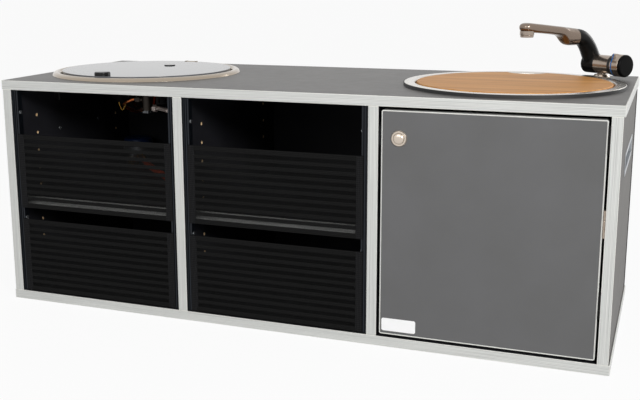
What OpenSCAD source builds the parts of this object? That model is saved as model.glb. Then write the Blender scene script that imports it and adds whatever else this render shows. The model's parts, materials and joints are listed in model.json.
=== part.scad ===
// Camper kitchen module: a cabinet with a round gas hob under a glass lid, a round sink
// under a cutting board, a folding tap, four elastic nets and a locking door.
// Millimetres, +Z up, front towards -Y. The origin is the middle of the underside.

/* [Cabinet] */
// Width over the worktop
cabinet_w = 1030; // [1020:5:1200]
// Depth from the front edging to the back of the worktop
cabinet_d = 400; // [390:5:450]
// Height over the worktop
cabinet_h = 394; // [390:1:430]
// Thickness of the boards
board_t = 16; // [15:0.5:18]
// Thickness of the silver edging
edging_t = 2; // [1:0.5:3]
// Thickness of the back panel
back_t = 8; // [4:1:10]
// How far the back panel lies in from the back edge
back_inset = 1; // [0:0.5:4]
// How far the left side panel stands in from the worktop's end
side_inset = 1.5; // [1:0.5:4]
// How far the right side panel stands in from the worktop's end
right_inset = 2.5; // [1:0.5:4]
// Clear width of the left bay
left_bay_w = 314.5; // [308:0.5:330]
// Clear width of the right bay
right_bay_w = 333; // [332:0.5:345]

/* [Shelves] */
// Diameter of a shelf pin and of its hole
pin_d = 5; // [4:0.5:6]
// Depth of a shelf pin hole
pin_hole_depth = 7; // [5:0.5:7]
// Distance from the front to the front column of holes
pin_front = 71; // [50:1:110]
// Distance from the back of the worktop to the back column of holes
pin_back = 63; // [40:1:110]
// Height of the lowest row of holes
pin_row_low = 101; // [98:1:104]
// Distance between rows of holes
pin_pitch = 32; // [31:1:33]
// Number of rows of holes
pin_rows = 8; // [6:1:8]
// Row that carries the shelves, counted from the bottom
shelf_row = 3; // [3:1:4]
// Diameter of the collar that a shelf lies on
collar_d = 12; // [10:1:14]
// Length of the collar
collar_len = 8; // [6:1:12]
// Distance from the front to the front edge of a shelf
shelf_setback = 20; // [19:1:40]
// Gap at each end and at the back of a shelf
shelf_gap = 0.5; // [0.3:0.1:1]

/* [Nets] */
// Width of a net rail along the front
rail_w = 11; // [9:0.5:13]
// Depth of a net rail
rail_d = 12; // [8:0.5:13]
// Distance from the front to the face of a rail
rail_front = 4; // [3.5:0.5:5]
// Width of the two grooves in a rail
rail_groove_w = 1.6; // [1:0.2:2]
// Depth of the grooves in a rail
rail_groove_d = 2; // [1:0.5:3]
// Number of screws in a rail
rail_screws = 4; // [2:1:4]
// Height of the lowest rail screw above the base board
rail_screw_low = 40; // [30:1:44]
// Distance of the highest rail screw under the worktop
rail_screw_high = 40; // [30:1:60]
// Diameter of a rail screw's shank
screw_d = 3.5; // [3:0.5:4]
// Diameter of a rail screw's head
screw_head_d = 6.5; // [6:0.5:7.5]
// Height of a rail screw's head
screw_head_h = 1.2; // [0.8:0.2:2]
// How deep a rail screw goes into its board
screw_bite = 6; // [4:0.5:7]
// Width of a net's side tape
tape_w = 12; // [10:0.5:14]
// Thickness of a net's side tape
tape_t = 2; // [1.6:0.2:2.4]
// How far a side tape laps over its rail
tape_lap = 3.5; // [2:0.5:6]
// Height of a net band
band_h = 6.2; // [5:0.2:7]
// Thickness of a net band
band_t = 1.2; // [0.8:0.2:1.4]
// Distance between net bands
band_pitch = 12; // [11:0.5:12.5]
// Number of bands between the hems
band_count = 9; // [7:1:9]
// Height of the top hem
hem_top_h = 9; // [7:0.5:11]
// Height of the bottom hem
hem_low_h = 8.2; // [6:0.2:10]
// Height of a lower net above the base board
low_net_gap = 2; // [1:0.5:4]
// How far an upper net starts below its shelf
net_drop = 1.5; // [0:0.5:6]

/* [Hand grips] */
// Length of a grip frame
grip_len = 200; // [180:2:204]
// Height of a grip frame
grip_h = 35; // [32:1:42]
// Width of the flange round the recess
grip_flange = 5; // [4:0.5:6]
// Thickness of the flange outside the panel
grip_flange_t = 1; // [0.8:0.2:1]
// Depth of the recess in the panel
grip_depth = 11; // [8:0.5:11]
// Wall of the grip shell
grip_wall = 1.2; // [1:0.2:2]
// Corner radius of the grip frame
grip_corner = 6; // [5:0.5:8]
// Distance from the front to the middle of a grip
grip_y = 206; // [200:1:208]
// Height of the middle of a grip
grip_z = 291; // [280:1:300]
// Distance between the two screws of a grip
grip_screw_gap = 132; // [110:1:150]
// Height of a screw boss in the recess
grip_boss_h = 3; // [2:0.5:5]
// Diameter of a screw boss
grip_boss_d = 8; // [7:0.5:10]

/* [Door] */
// Gap at the hinge side of the door
door_hinge_gap = 3.5; // [3.5:0.1:6]
// Gap at the lock side of the door
door_lock_gap = 5; // [3:0.5:6]
// Gap above and below the door
door_end_gap = 5; // [2:0.5:6]
// Thickness of the door
door_t = 16; // [15:0.5:18]
// Corner radius of the door with its edging
door_corner = 3; // [2.5:0.5:8]
// Outer diameter of a hinge knuckle
knuckle_d = 3; // [2.8:0.1:3]
// Diameter of a hinge pin
hinge_pin_d = 1.4; // [1.2:0.1:1.4]
// Running clearance round a pin
pin_play = 0.05; // [0.03:0.01:0.09]
// Height of a door hinge
hinge_h = 40; // [30:1:50]
// Thickness of a hinge leaf
leaf_t = 1.2; // [1:0.1:1.3]
// Depth of the leaf on the side panel
frame_leaf_d = 24; // [16:1:30]
// Depth of the leaf on the door's edge
door_leaf_d = 11; // [8:1:12]
// Distance from the door's bottom to the middle of the lowest hinge
hinge_low = 84; // [60:1:90]
// Distance from the door's top to the middle of the highest hinge
hinge_high = 28; // [24:1:60]
// Width of the bare label plate
label_w = 54; // [40:1:70]
// Height of the bare label plate
label_h = 20.5; // [14:0.5:30]
// Thickness of the label plate
label_t = 0.6; // [0.4:0.1:1]
// Distance from the label plate to the door's side and bottom edges
label_margin = 5; // [4:0.5:12]

/* [Lock] */
// Distance from the door's edge to the middle of the lock
lock_x = 27.5; // [26:0.5:34]
// Distance from the door's top to the middle of the lock
lock_top = 42; // [30:1:60]
// Diameter of the lock flange
lock_flange_d = 25; // [24:0.5:30]
// Thickness of the lock flange
lock_flange_t = 2.5; // [1.5:0.5:4]
// Diameter of the barrel through the door
lock_barrel_d = 21; // [20:0.5:22]
// Diameter of the push button
button_d = 17; // [14:0.5:17]
// How far the button stands out of the flange
button_out = 3; // [3:0.5:6]
// Travel of the button
button_travel = 2.5; // [2:0.5:2.5]
// Travel of the bolt
bolt_travel = 8; // [6:0.5:8]
// Width and height of the lock case behind the door
lock_case_w = 28; // [26:1:30]
// Depth of the lock case behind the door
lock_case_d = 20; // [20:1:26]
// Width of the bolt
bolt_w = 8; // [6:0.5:8]
// Height of the bolt
bolt_h = 10; // [8:0.5:12]
// Sliding clearance round the bolt
bolt_play = 0.3; // [0.2:0.1:0.5]
// Thickness of the wall in front of the bolt
lock_wall = 4; // [3.8:0.1:5]
// How far the strike reaches in front of the bolt
strike_reach = 15; // [13.5:0.5:15]
// Thickness of the strike
strike_t = 2.8; // [2:0.2:3]
// Height of the strike
strike_h = 30; // [20:1:40]
// Depth of the strike's foot on the divider
strike_foot_d = 18; // [10:1:24]

/* [Hob] */
// Radius of the hob rim's foot on the worktop
hob_rim_r = 171.4; // [168:0.2:174]
// Height of the hob rim
hob_rim_h = 6.2; // [5:0.2:6.2]
// Width of the hob rim
hob_rim_w = 14.2; // [12:0.2:14.2]
// Radius of the hob cut-out in the worktop
hob_cut_r = 160; // [158.5:0.5:162]
// Thickness of the bowl's sheet
sheet_t = 1; // [0.8:0.1:1.2]
// Depth of the shallow floor under the worktop's top
hob_floor_depth = 22; // [20:0.5:23]
// Outer radius of the shallow floor
hob_floor_r = 141; // [138:1:144]
// Inner radius of the shallow floor
hob_slope_r = 92; // [88:1:96]
// Depth of the burner well under the worktop's top
well_depth = 57; // [52:1:60]
// Radius of the burner well
well_r = 52; // [48:1:56]
// Radius of the hole for the burner holder
holder_r = 10; // [8:0.5:12]
// Length of the burner holder under the well
holder_len = 18; // [16:0.5:24]
// Radius of the burner
burner_r = 34; // [28:1:38]
// Height of the burner
burner_h = 26; // [20:1:28]
// Radius of the burner cap
burner_cap_r = 30; // [24:1:34]
// Height of the burner cap
burner_cap_h = 5; // [4:0.5:6]
// Width of the pan support's bars
bar_w = 4; // [3:0.5:6]
// Height of the pan support's bars
bar_h = 5; // [4:0.5:6]
// Reach of the pan support's arms
support_r = 112; // [106:1:118]
// Radius of the pan support's ring
support_ring_r = 60; // [45:1:75]
// Height of the pan support under the worktop's top
support_depth = 1.5; // [1:0.25:3]
// Sideways place of the hob valve from the burner
valve_x = 56; // [54:1:58]
// Distance of the hob valve in front of the burner
valve_y = 102; // [100:1:104]
// Radius of the valve's body
valve_r = 9; // [8:0.5:10]
// Height of the valve's body
valve_h = 32; // [30:1:34]
// Radius of the valve's spindle
spindle_r = 3; // [2.5:0.25:3.5]
// Radius of the hob knob
hob_knob_r = 13; // [11:0.5:14]
// Height of the hob knob
hob_knob_h = 13; // [10:0.5:14]
// Travel of the hob knob when it is pushed
knob_push = 2.5; // [1.5:0.5:3]
// Radius of the gas pipes
gas_pipe_r = 3.75; // [3:0.25:4]

/* [Glass lid] */
// Radius of the glass
glass_r = 153.5; // [151:0.5:154]
// Thickness of the glass
glass_t = 4; // [3.5:0.5:5]
// Height of the glass's underside over the worktop
glass_rise = 3.5; // [3:0.25:4]
// Sideways place of the lid hinge from the middle of the hob
lid_hinge_x = 13.5; // [8:0.5:16]
// Distance of the lid hinge behind the middle of the hob
lid_hinge_y = 152; // [151:0.25:152.5]
// Radius of the lid hinge's barrel
lid_barrel_r = 2.8; // [2.6:0.1:3]
// Radius of the lid hinge's pin
lid_pin_r = 1.2; // [1:0.1:1.4]
// Width of the lid arm
lid_arm_w = 18; // [14:1:20]
// Thickness of the lid arm
lid_arm_t = 2.2; // [1.6:0.2:2.4]
// Distance of the cap in front of the lid hinge
lid_cap_y = 90; // [70:1:110]
// Radius of the cap on the glass
lid_cap_r = 10.5; // [8:0.5:12]
// Height of the cap on the glass
lid_cap_h = 1.5; // [1:0.25:2.5]
// Sideways place of the lift knob from the middle of the hob
lift_x = -10.5; // [-14:0.5:10]
// Distance of the lift knob in front of the middle of the hob
lift_y = 137.5; // [125:0.5:138]
// Radius of the lift knob
lift_r = 13.8; // [11:0.2:15]
// Height of the lift knob
lift_h = 6.5; // [5:0.5:9]
// Width of the ears of the lid hinge
ear_w = 3; // [2:0.5:4]

/* [Sink] */
// Radius of the gasket under the sink's rim
gasket_r = 176; // [175:0.5:180]
// Thickness of the gasket
gasket_t = 4.5; // [4:0.5:5]
// Radius of the sink's rim
sink_rim_r = 174; // [170:0.5:174.5]
// Radius of the sink cut-out in the worktop
sink_cut_r = 165; // [162:0.5:167]
// Radius of the recess for the cutting board
board_recess_r = 157; // [156:0.5:159]
// Radius of the basin
basin_r = 150; // [144:1:152]
// Depth of the basin under the worktop's top
basin_depth = 132; // [110:2:150]
// Radius of the drain hole
drain_r = 20; // [16:1:24]
// Radius of the drain's tail
drain_tail_r = 12.5; // [10:0.5:14]
// Length of the drain under the basin
drain_len = 46; // [36:1:60]
// Radius of the cutting board
chop_r = 154.5; // [152:0.5:155]
// Thickness of the cutting board
chop_t = 12; // [10:0.5:16]
// Height of the cutting board's top over the worktop
chop_rise = 6; // [5:0.5:7.5]
// Radius of the finger notch
notch_r = 34; // [26:1:40]
// Depth of the finger notch
notch_depth = 28; // [20:1:32]

/* [Tap] */
// Distance of the tap from the worktop's right end
tap_x = 60.5; // [56:0.5:64]
// Distance of the tap from the back edge
tap_y = 40; // [38:0.5:44]
// Turn of the tap's body to the front
tap_turn = 36; // [20:1:50]
// Radius of the tap's foot
tap_foot_r = 14; // [12:0.5:16]
// Height of the tap's foot
tap_foot_h = 6; // [5:0.5:6]
// Radius of the shank through the worktop
tap_shank_r = 9; // [8:0.5:11]
// Length of the shank under the worktop
tap_shank_len = 30; // [20:1:40]
// Radius of the tap's nut
tap_nut_r = 15; // [13:0.5:18]
// Height of the tap's nut
tap_nut_h = 8; // [6:0.5:10]
// Radius of the water inlet's tail
tap_tail_r = 5; // [4:0.5:6]
// Length of the water inlet's tail
tap_tail_len = 26; // [20:1:34]
// Height of the tap body's axis over the worktop
tap_axis_h = 23.4; // [23.2:0.1:25]
// Radius of the tap's body
tap_body_r = 15.5; // [14:0.25:16]
// Length of the tap's body on each side of its middle
tap_body_back = 7.5; // [6:0.5:9]
// Length of the tap's body towards the control ring
tap_body_front = 23; // [20:0.5:26]
// Radius of the black seal ring
tap_seal_r = 17; // [16:0.25:18]
// Width of the black seal ring
tap_seal_w = 6.5; // [4:0.5:8]
// Radius of the control ring
tap_ring_r = 18.7; // [17.5:0.1:18.8]
// Width of the control ring
tap_ring_w = 16.5; // [14:0.5:19]
// Height of the lobe on the control ring
tap_lobe_h = 4; // [2:0.5:6]
// Turn of the lobe from the top towards the spout
tap_lobe_turn = 25; // [0:1:40]
// Width of the end knob
tap_knob_w = 5.5; // [4:0.5:7]
// Radius of the tap's inner spindle
tap_spindle_r = 6; // [5:0.25:7]
// Radius of the spout's knuckle
spout_knuckle_r = 16; // [15:0.25:16.5]
// Width of the spout
spout_w = 26; // [22:0.5:28]
// Gap between turning faces of the tap
turn_gap = 0.3; // [0.3:0.05:0.5]
// Distance from the tap to the elbow's joint with the arm
spout_joint = 42; // [41.5:0.5:43]
// Distance from the tap to the middle of the aerator
aerator_x = 161.5; // [156:0.5:163]
// Radius of the aerator
aerator_r = 11.5; // [9:0.5:12]
// Height of the aerator's ring
aerator_h = 4; // [3:0.5:8]

/* [Hidden] */
$fn = 64;

// Colours
slate = "#6a6967";
silver = "#d2d5d4";
black = "#1b1b1c";
steel = "#c9c8c4";
nickel = "#b9aea2";
brass = "#c09a4a";
wood = "#c99a68";

// Planes of the cabinet
left_end = -cabinet_w / 2;
front = -cabinet_d / 2;
back = cabinet_d / 2;
board_front = front + edging_t;
back_face = back - back_inset - back_t;
top_low = cabinet_h - board_t;
upright_h = top_low - board_t;
left_x = left_end + side_inset;
bay1_x = left_x + board_t;
divider1_x = bay1_x + left_bay_w;
bay2_x = divider1_x + board_t;
right_x = -left_end - right_inset - board_t;
bay3_x = right_x - right_bay_w;
divider2_x = bay3_x - board_t;
middle_bay_w = divider2_x - bay2_x;

// Shelves and their pins
pin_columns = [front + pin_front, back - pin_back];
shelf_pin_z = pin_row_low + (shelf_row - 1) * pin_pitch;
shelf_z = shelf_pin_z + collar_d / 2;
shelf_top = shelf_z + board_t;
shelf_front = front + shelf_setback;

// Nets
rail_y = front + rail_front;
rail_inner = [bay1_x + rail_w, divider1_x - rail_w, bay2_x + rail_w, divider2_x - rail_w];
net_h = hem_top_h + hem_low_h + band_count * band_pitch + band_pitch - band_h;
low_net_z = board_t + low_net_gap;
high_net_z = shelf_z - net_drop;

// Door
door_x = bay3_x + door_lock_gap;
door_right = right_x - door_hinge_gap;
door_w = door_right - door_x;
door_z = board_t + door_end_gap;
door_h = upright_h - 2 * door_end_gap;
door_back = front + door_t;
hinge_x = right_x - door_hinge_gap / 2;
hinge_pitch = (door_h - hinge_low - hinge_high) / 2;
hinge_z = [for (i = [0:2]) door_z + hinge_low - hinge_h / 2 + i * hinge_pitch];
knuckle_h = hinge_h / 3;
lock_at = [door_x + lock_x, front, door_z + door_h - lock_top];
bolt_front = door_back + lock_wall;

// Hob, with heights over the underside of the cabinet
hob_x = bay1_x + left_bay_w / 2;
bead_r = hob_rim_r - hob_rim_w;
hob_floor_z = cabinet_h - hob_floor_depth;
well_z = cabinet_h - well_depth;
valve_at = [hob_x + valve_x, -valve_y];
valve_top = hob_floor_z - sheet_t;
outlet_z = valve_top - 13.5;
inlet_z = valve_top - 28;
knob_z = hob_floor_z + knob_push + 1;
lid_axis = [hob_x + lid_hinge_x, lid_hinge_y, cabinet_h + glass_rise + glass_t / 2];
glass_z = cabinet_h + glass_rise;

// Sink and board
sink_x = bay3_x + right_bay_w / 2;
sink_top = cabinet_h + gasket_t + sheet_t;
ledge_z = cabinet_h + chop_rise - chop_t;
basin_z = cabinet_h - basin_depth;

// Tap
tap_at = [-left_end - tap_x, back - tap_y, cabinet_h];
neck_z = tap_foot_h + turn_gap;
ring_from = tap_body_front + tap_seal_w + turn_gap;
knuckle_to = -tap_body_back - turn_gap;
knuckle_from = knuckle_to - spout_w;

// Hose on the shelf, from the regulator to the hob's inlet elbow, as the distance from the
// left side panel, the depth and the share of the rise from the shelf
hose_r = 6.5;
hose_sides = 10;
hose_across = [0.79, 0.61, 0];
hose_route = [
    [65.5, 140, 0], [79.5, 122, 0], [97.5, 101, 0], [117.5, 80, 0], [138.5, 59, 0],
    [158.5, 39, 0], [177.5, 18, 0], [195.5, -5, 0], [212.5, -29, 0], [228.5, -54, 0],
    [243.5, -79, 0], [256.5, -96, 0], [269.5, -113, 0.03], [280.5, -127, 0.13],
    [288.5, -137, 0.28], [290.5, -140, 0.45], [290.5, -140, 0.63], [290.5, -140, 0.82],
    [290.5, -140, 1]
];
inlet_top = inlet_z + 3;
hose_low = shelf_top + 7;
hose_rise = inlet_top - 28 - hose_low;
hose_points = [for (p = hose_route) [bay1_x + p[0], p[1], hose_low + p[2] * hose_rise]];
regulator_at = [bay1_x + 33.5, 145, shelf_top];
disc_shift = 13.5;

// A board with its low corner at a point
module board(from, to) {
    translate(from) cube(to - from);
}

// A flat rounded rectangle about the origin
module rounded(w, h, r) {
    square([w - 2 * r, h], center = true);
    square([w, h - 2 * r], center = true);
    for (x = [-1, 1], y = [-1, 1])
        translate([x * (w / 2 - r), y * (h / 2 - r)]) circle(r);
}

// A round rod from one point to another
module rod(a, b, r) {
    v = b - a;
    translate(a)
        rotate([0, acos(v[2] / norm(v)), atan2(v[1], v[0])])
            cylinder(h = norm(v), r = r);
}

// A bent pipe with a ball at each bend
module pipe(points, r) {
    for (i = [0:len(points) - 2]) rod(points[i], points[i + 1], r);
    for (i = [1:len(points) - 2]) translate(points[i]) sphere(1.08 * r);
}

// A tube of flat faces with a ring at each point, its rings set out from one fixed direction
module tube(points, r, sides, across) {
    last = len(points) - 1;
    rings = [
        for (i = [0:last])
            let (way = points[min(i + 1, last)] - points[max(i - 1, 0)],
                 t = way / norm(way),
                 flat = across - (across * t) * t,
                 u = flat / norm(flat),
                 v = cross(t, u))
            for (k = [0:sides - 1])
                points[i] + r * (cos(360 * k / sides) * u + sin(360 * k / sides) * v)
    ];
    walls = [
        for (i = [0:last - 1], k = [0:sides - 1])
            let (a = i * sides + k, b = i * sides + (k + 1) % sides)
            each [[a, a + sides, b], [b, a + sides, b + sides]]
    ];
    start = [for (k = [0:sides - 1]) k];
    end = [for (k = [sides - 1:-1:0]) last * sides + k];
    polyhedron(rings, concat(walls, [start, end]));
}

// A hexagon nut along Z, with its size given across the corners
module hexagon(r, h) {
    cylinder(h = h, r = r, $fn = 6);
}

// A sheet turned about Z: a line of [radius, height] points, thickened down and outwards
function sheet(line, t) =
    concat(line, [for (i = [len(line) - 1:-1:0]) line[i] + [t, -t]]);

// Holes for shelf pins in one face of an upright, drilled along +X or -X
module pin_holes(x, way) {
    for (y = pin_columns, row = [0:pin_rows - 1])
        translate([x, y, pin_row_low + row * pin_pitch])
            rotate([0, way * 90, 0])
                cylinder(h = 2 * pin_hole_depth, d = pin_d, center = true);
}

// Heights of the rail screws
function screw_z(i) =
    board_t + rail_screw_low
    + i * (upright_h - rail_screw_low - rail_screw_high) / (rail_screws - 1);

// Holes for rail screws in a board, or in a rail
module screw_holes(x) {
    for (i = [0:rail_screws - 1])
        translate([x, rail_y + rail_d / 2, screw_z(i)])
            rotate([0, 90, 0])
                cylinder(h = 2 * (screw_bite + 20), d = screw_d, center = true);
}

// The part of the screw holes that lies in a board's face
module screw_pilots(x) {
    for (i = [0:rail_screws - 1])
        translate([x, rail_y + rail_d / 2, screw_z(i)])
            rotate([0, 90, 0])
                cylinder(h = 2 * screw_bite, d = screw_d, center = true);
}

// The pocket for a grip, in a frame whose +X is the outward normal of the panel
module grip_pocket() {
    rotate([90, 0, 90])
        translate([0, 0, -grip_depth])
            linear_extrude(2 * grip_depth)
                rounded(grip_len - 2 * grip_flange, grip_h - 2 * grip_flange, 2);
    for (y = [-1, 1])
        translate([-board_t - 1, y * grip_screw_gap / 2, 0])
            rotate([0, 90, 0])
                cylinder(h = board_t + 1, d = screw_d);
}

module base_panel() {
    color(slate)
        board([left_end + edging_t, board_front, 0], [-left_end - edging_t, back, board_t]);
}

module worktop_panel() {
    color(slate)
        difference() {
            board([left_end + edging_t, board_front, top_low],
                  [-left_end - edging_t, back, cabinet_h]);
            translate([hob_x, 0, top_low - 1]) cylinder(h = board_t + 2, r = hob_cut_r);
            translate([sink_x, 0, top_low - 1]) cylinder(h = board_t + 2, r = sink_cut_r);
            translate([tap_at[0], tap_at[1], top_low - 1])
                cylinder(h = board_t + 2, r = tap_shank_r);
        }
}

// An upright board between the base and the worktop
module upright(x) {
    board([x, board_front, board_t], [x + board_t, back_face, top_low]);
}

module left_side_panel() {
    color(slate)
        difference() {
            upright(left_x);
            pin_holes(bay1_x, -1);
            screw_pilots(bay1_x);
            translate([left_x, front + grip_y, grip_z]) rotate(180) grip_pocket();
        }
}

module right_side_panel() {
    color(slate)
        difference() {
            upright(right_x);
            translate([right_x + board_t, front + grip_y, grip_z]) grip_pocket();
        }
}

module left_divider() {
    color(slate)
        difference() {
            upright(divider1_x);
            pin_holes(divider1_x, 1);
            pin_holes(bay2_x, -1);
            screw_pilots(divider1_x);
            screw_pilots(bay2_x);
        }
}

module right_divider() {
    color(slate)
        difference() {
            upright(divider2_x);
            pin_holes(divider2_x, 1);
            screw_pilots(divider2_x);
        }
}

module back_panel() {
    color(slate)
        board([left_x, back_face, board_t], [-left_x, back_face + back_t, top_low]);
}

module shelf(x, w) {
    color(slate)
        board([x + shelf_gap, shelf_front + edging_t, shelf_z],
              [x + w - shelf_gap, back_face - shelf_gap, shelf_top]);
}

module left_shelf() {
    shelf(bay1_x, left_bay_w);
}

module middle_shelf() {
    shelf(bay2_x, middle_bay_w);
}

// Edging round the front and both ends of a long board
module long_edging(z) {
    color(silver) {
        board([left_end, front, z], [-left_end, board_front, z + board_t]);
        board([left_end, board_front, z], [left_end + edging_t, back, z + board_t]);
        board([-left_end - edging_t, board_front, z], [-left_end, back, z + board_t]);
    }
}

module worktop_edging() {
    long_edging(top_low);
}

module base_edging() {
    long_edging(0);
}

module inner_edging() {
    color(silver) {
        for (x = [left_x, divider1_x, divider2_x, right_x])
            board([x, front, board_t], [x + board_t, board_front, top_low]);
        for (bay = [[bay1_x, left_bay_w], [bay2_x, middle_bay_w]])
            board([bay[0] + shelf_gap, shelf_front, shelf_z],
                  [bay[0] + bay[1] - shelf_gap, shelf_front + edging_t, shelf_top]);
    }
}

// One shelf pin in a hole at x, with its collar towards the bay
module shelf_pin(x, y, way) {
    translate([x, y, shelf_pin_z])
        rotate([0, way * 90, 0]) {
            translate([0, 0, -pin_hole_depth]) cylinder(h = pin_hole_depth, d = pin_d);
            cylinder(h = collar_len, d = collar_d);
        }
}

module shelf_pins() {
    color(steel)
        for (y = pin_columns) {
            for (x = [bay1_x, bay2_x]) shelf_pin(x, y, 1);
            for (x = [divider1_x, divider2_x]) shelf_pin(x, y, -1);
        }
}

// A net rail with two grooves in its face
module net_rail(x) {
    difference() {
        board([x, rail_y, board_t], [x + rail_w, rail_y + rail_d, top_low]);
        for (i = [1, 2])
            board([x + i * rail_w / 3 - rail_groove_w / 2, rail_y - 1, board_t - 1],
                  [x + i * rail_w / 3 + rail_groove_w / 2, rail_y + rail_groove_d, top_low + 1]);
        screw_holes(x);
    }
}

module net_rails() {
    color(black)
        for (x = [bay1_x, rail_inner[1], bay2_x, rail_inner[3]]) net_rail(x);
}

// One screw through a rail: the head lies on the rail's inner face
module rail_screw(x, z, way) {
    translate([x, rail_y + rail_d / 2, z])
        rotate([0, way * 90, 0]) {
            cylinder(h = screw_head_h, d = screw_head_d);
            translate([0, 0, -rail_w - screw_bite]) cylinder(h = rail_w + screw_bite, d = screw_d);
        }
}

// One grip screw, with its head on the panel's inner face
module grip_screw(x, y, way) {
    translate([x, y, grip_z])
        rotate([0, -way * 90, 0]) {
            cylinder(h = screw_head_h, d = screw_head_d);
            translate([0, 0, grip_depth - board_t])
                cylinder(h = board_t - grip_depth, d = screw_d);
        }
}

module panel_screws() {
    color(steel) {
        for (i = [0:rail_screws - 1]) {
            rail_screw(rail_inner[0], screw_z(i), 1);
            rail_screw(rail_inner[1], screw_z(i), -1);
            rail_screw(rail_inner[2], screw_z(i), 1);
            rail_screw(rail_inner[3], screw_z(i), -1);
        }
        for (side = [-1, 1]) {
            grip_screw(bay1_x, front + grip_y + side * grip_screw_gap / 2, -1);
            grip_screw(right_x, front + grip_y + side * grip_screw_gap / 2, 1);
        }
    }
}

// An elastic net: two side tapes, two hems and the bands between them
module net(x, w, z) {
    y = rail_y - tape_t;
    band_y = rail_y - (tape_t + band_t) / 2;
    tape_x = rail_w - tape_lap;
    color(black) {
        board([x + tape_x, y, z], [x + tape_x + tape_w, rail_y, z + net_h]);
        board([x + w - tape_x - tape_w, y, z], [x + w - tape_x, rail_y, z + net_h]);
        for (i = [0:band_count - 1])
            translate([x + tape_x + 1, band_y, z + hem_low_h + band_pitch - band_h + i * band_pitch])
                cube([w - 2 * tape_x - 2, band_t, band_h]);
        translate([x + tape_x + 1, band_y, z]) cube([w - 2 * tape_x - 2, band_t, hem_low_h]);
        translate([x + tape_x + 1, band_y, z + net_h - hem_top_h])
            cube([w - 2 * tape_x - 2, band_t, hem_top_h]);
    }
}

module left_upper_net() {
    net(bay1_x, left_bay_w, high_net_z);
}

module left_lower_net() {
    net(bay1_x, left_bay_w, low_net_z);
}

module middle_upper_net() {
    net(bay2_x, middle_bay_w, high_net_z);
}

module middle_lower_net() {
    net(bay2_x, middle_bay_w, low_net_z);
}

// A recessed grip, in a frame whose +X is the outward normal of the panel
module grip() {
    pocket_w = grip_len - 2 * grip_flange;
    pocket_h = grip_h - 2 * grip_flange;
    boss = [-grip_depth + grip_wall, grip_screw_gap / 2, 0];
    color(silver) {
        difference() {
            rotate([90, 0, 90]) {
                linear_extrude(grip_flange_t) rounded(grip_len, grip_h, grip_corner);
                translate([0, 0, -grip_depth])
                    linear_extrude(grip_depth) rounded(pocket_w, pocket_h, 2);
            }
            rotate([90, 0, 90])
                translate([0, 0, grip_wall - grip_depth])
                    linear_extrude(2 * grip_depth)
                        rounded(pocket_w - 2 * grip_wall, pocket_h - 2 * grip_wall, 0.8);
        }
        for (y = [-1, 1])
            translate([boss[0], y * boss[1], 0])
                rotate([0, 90, 0]) cylinder(h = grip_boss_h, d = grip_boss_d);
    }
}

module left_grip() {
    translate([left_x, front + grip_y, grip_z]) rotate(180) grip();
}

module right_grip() {
    translate([right_x + board_t, front + grip_y, grip_z]) grip();
}

// The inside line of the hob bowl, from the rim down to the burner hole
function bowl_line() = [
    [bead_r, cabinet_h + 2.5],
    [bead_r - 0.7, cabinet_h - 6],
    [hob_floor_r + 9, hob_floor_z + 5],
    [hob_floor_r + 5, hob_floor_z + 1.2],
    [hob_floor_r, hob_floor_z],
    [hob_slope_r, hob_floor_z],
    [well_r + 5, well_z + 3],
    [well_r, well_z],
    [holder_r, well_z]
];

module hob_bowl() {
    line = bowl_line();
    outside = [for (i = [len(line) - 1:-1:1]) line[i] + [sheet_t, -sheet_t]];
    rim = [
        [bead_r + sheet_t, cabinet_h],
        [hob_rim_r, cabinet_h],
        [hob_rim_r - 1.6, cabinet_h + 0.5 * hob_rim_h],
        [hob_rim_r - 4.8, cabinet_h + 0.92 * hob_rim_h],
        [hob_rim_r - 8, cabinet_h + hob_rim_h],
        [hob_rim_r - 11, cabinet_h + 0.9 * hob_rim_h]
    ];
    color(steel)
        translate([hob_x, 0, 0])
            difference() {
                rotate_extrude() polygon(concat(line, outside, rim));
                translate([valve_x, -valve_y, hob_floor_z - 2 * sheet_t])
                    cylinder(h = 3 * sheet_t, r = spindle_r + 1);
            }
}

module burner_body() {
    color(steel)
        translate([hob_x, 0, 0]) {
            translate([0, 0, well_z]) cylinder(h = burner_h - 6, r1 = 20, r2 = burner_r);
            translate([0, 0, well_z + burner_h - 6]) cylinder(h = 6, r = burner_r);
            translate([0, 0, well_z - holder_len]) cylinder(h = holder_len, r = holder_r - 0.2);
            translate([-6, -holder_r - 3, well_z - holder_len]) cube([12, 8, holder_len - 3]);
        }
}

module burner_cap() {
    color(black)
        translate([hob_x, 0, well_z + burner_h]) {
            cylinder(h = burner_cap_h * 0.6, r = burner_cap_r);
            translate([0, 0, burner_cap_h * 0.6])
                cylinder(h = burner_cap_h * 0.4, r1 = burner_cap_r, r2 = burner_cap_r - 3);
        }
}

module pan_support() {
    z = cabinet_h - support_depth - bar_h;
    color(black)
        translate([hob_x, 0, 0]) {
            for (turn = [0:90:270])
                rotate(turn) {
                    board([22, -bar_w / 2, z], [support_r, bar_w / 2, z + bar_h]);
                    board([support_r - bar_h, -bar_w / 2, hob_floor_z],
                          [support_r, bar_w / 2, z + bar_h]);
                }
            translate([0, 0, z])
                difference() {
                    cylinder(h = bar_h - 1, r = support_ring_r + bar_w / 2);
                    translate([0, 0, -1]) cylinder(h = bar_h + 1, r = support_ring_r - bar_w / 2);
                }
        }
}

module gas_valve() {
    color(brass)
        translate([valve_at[0], valve_at[1], 0]) {
            difference() {
                translate([0, 0, valve_top - valve_h]) cylinder(h = valve_h, r = valve_r);
                translate([0, 0, valve_top - 20]) cylinder(h = 30, r = spindle_r + pin_play);
            }
            rod([-valve_r + 1, 0, outlet_z], [-valve_r - 15, 0, outlet_z], 5);
            translate([-valve_r - 12, 0, outlet_z]) rotate([0, 90, 0]) hexagon(7, 8);
            rod([valve_r - 1, 0, inlet_z], [valve_r + 2, 0, inlet_z], 4);
        }
}

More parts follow.
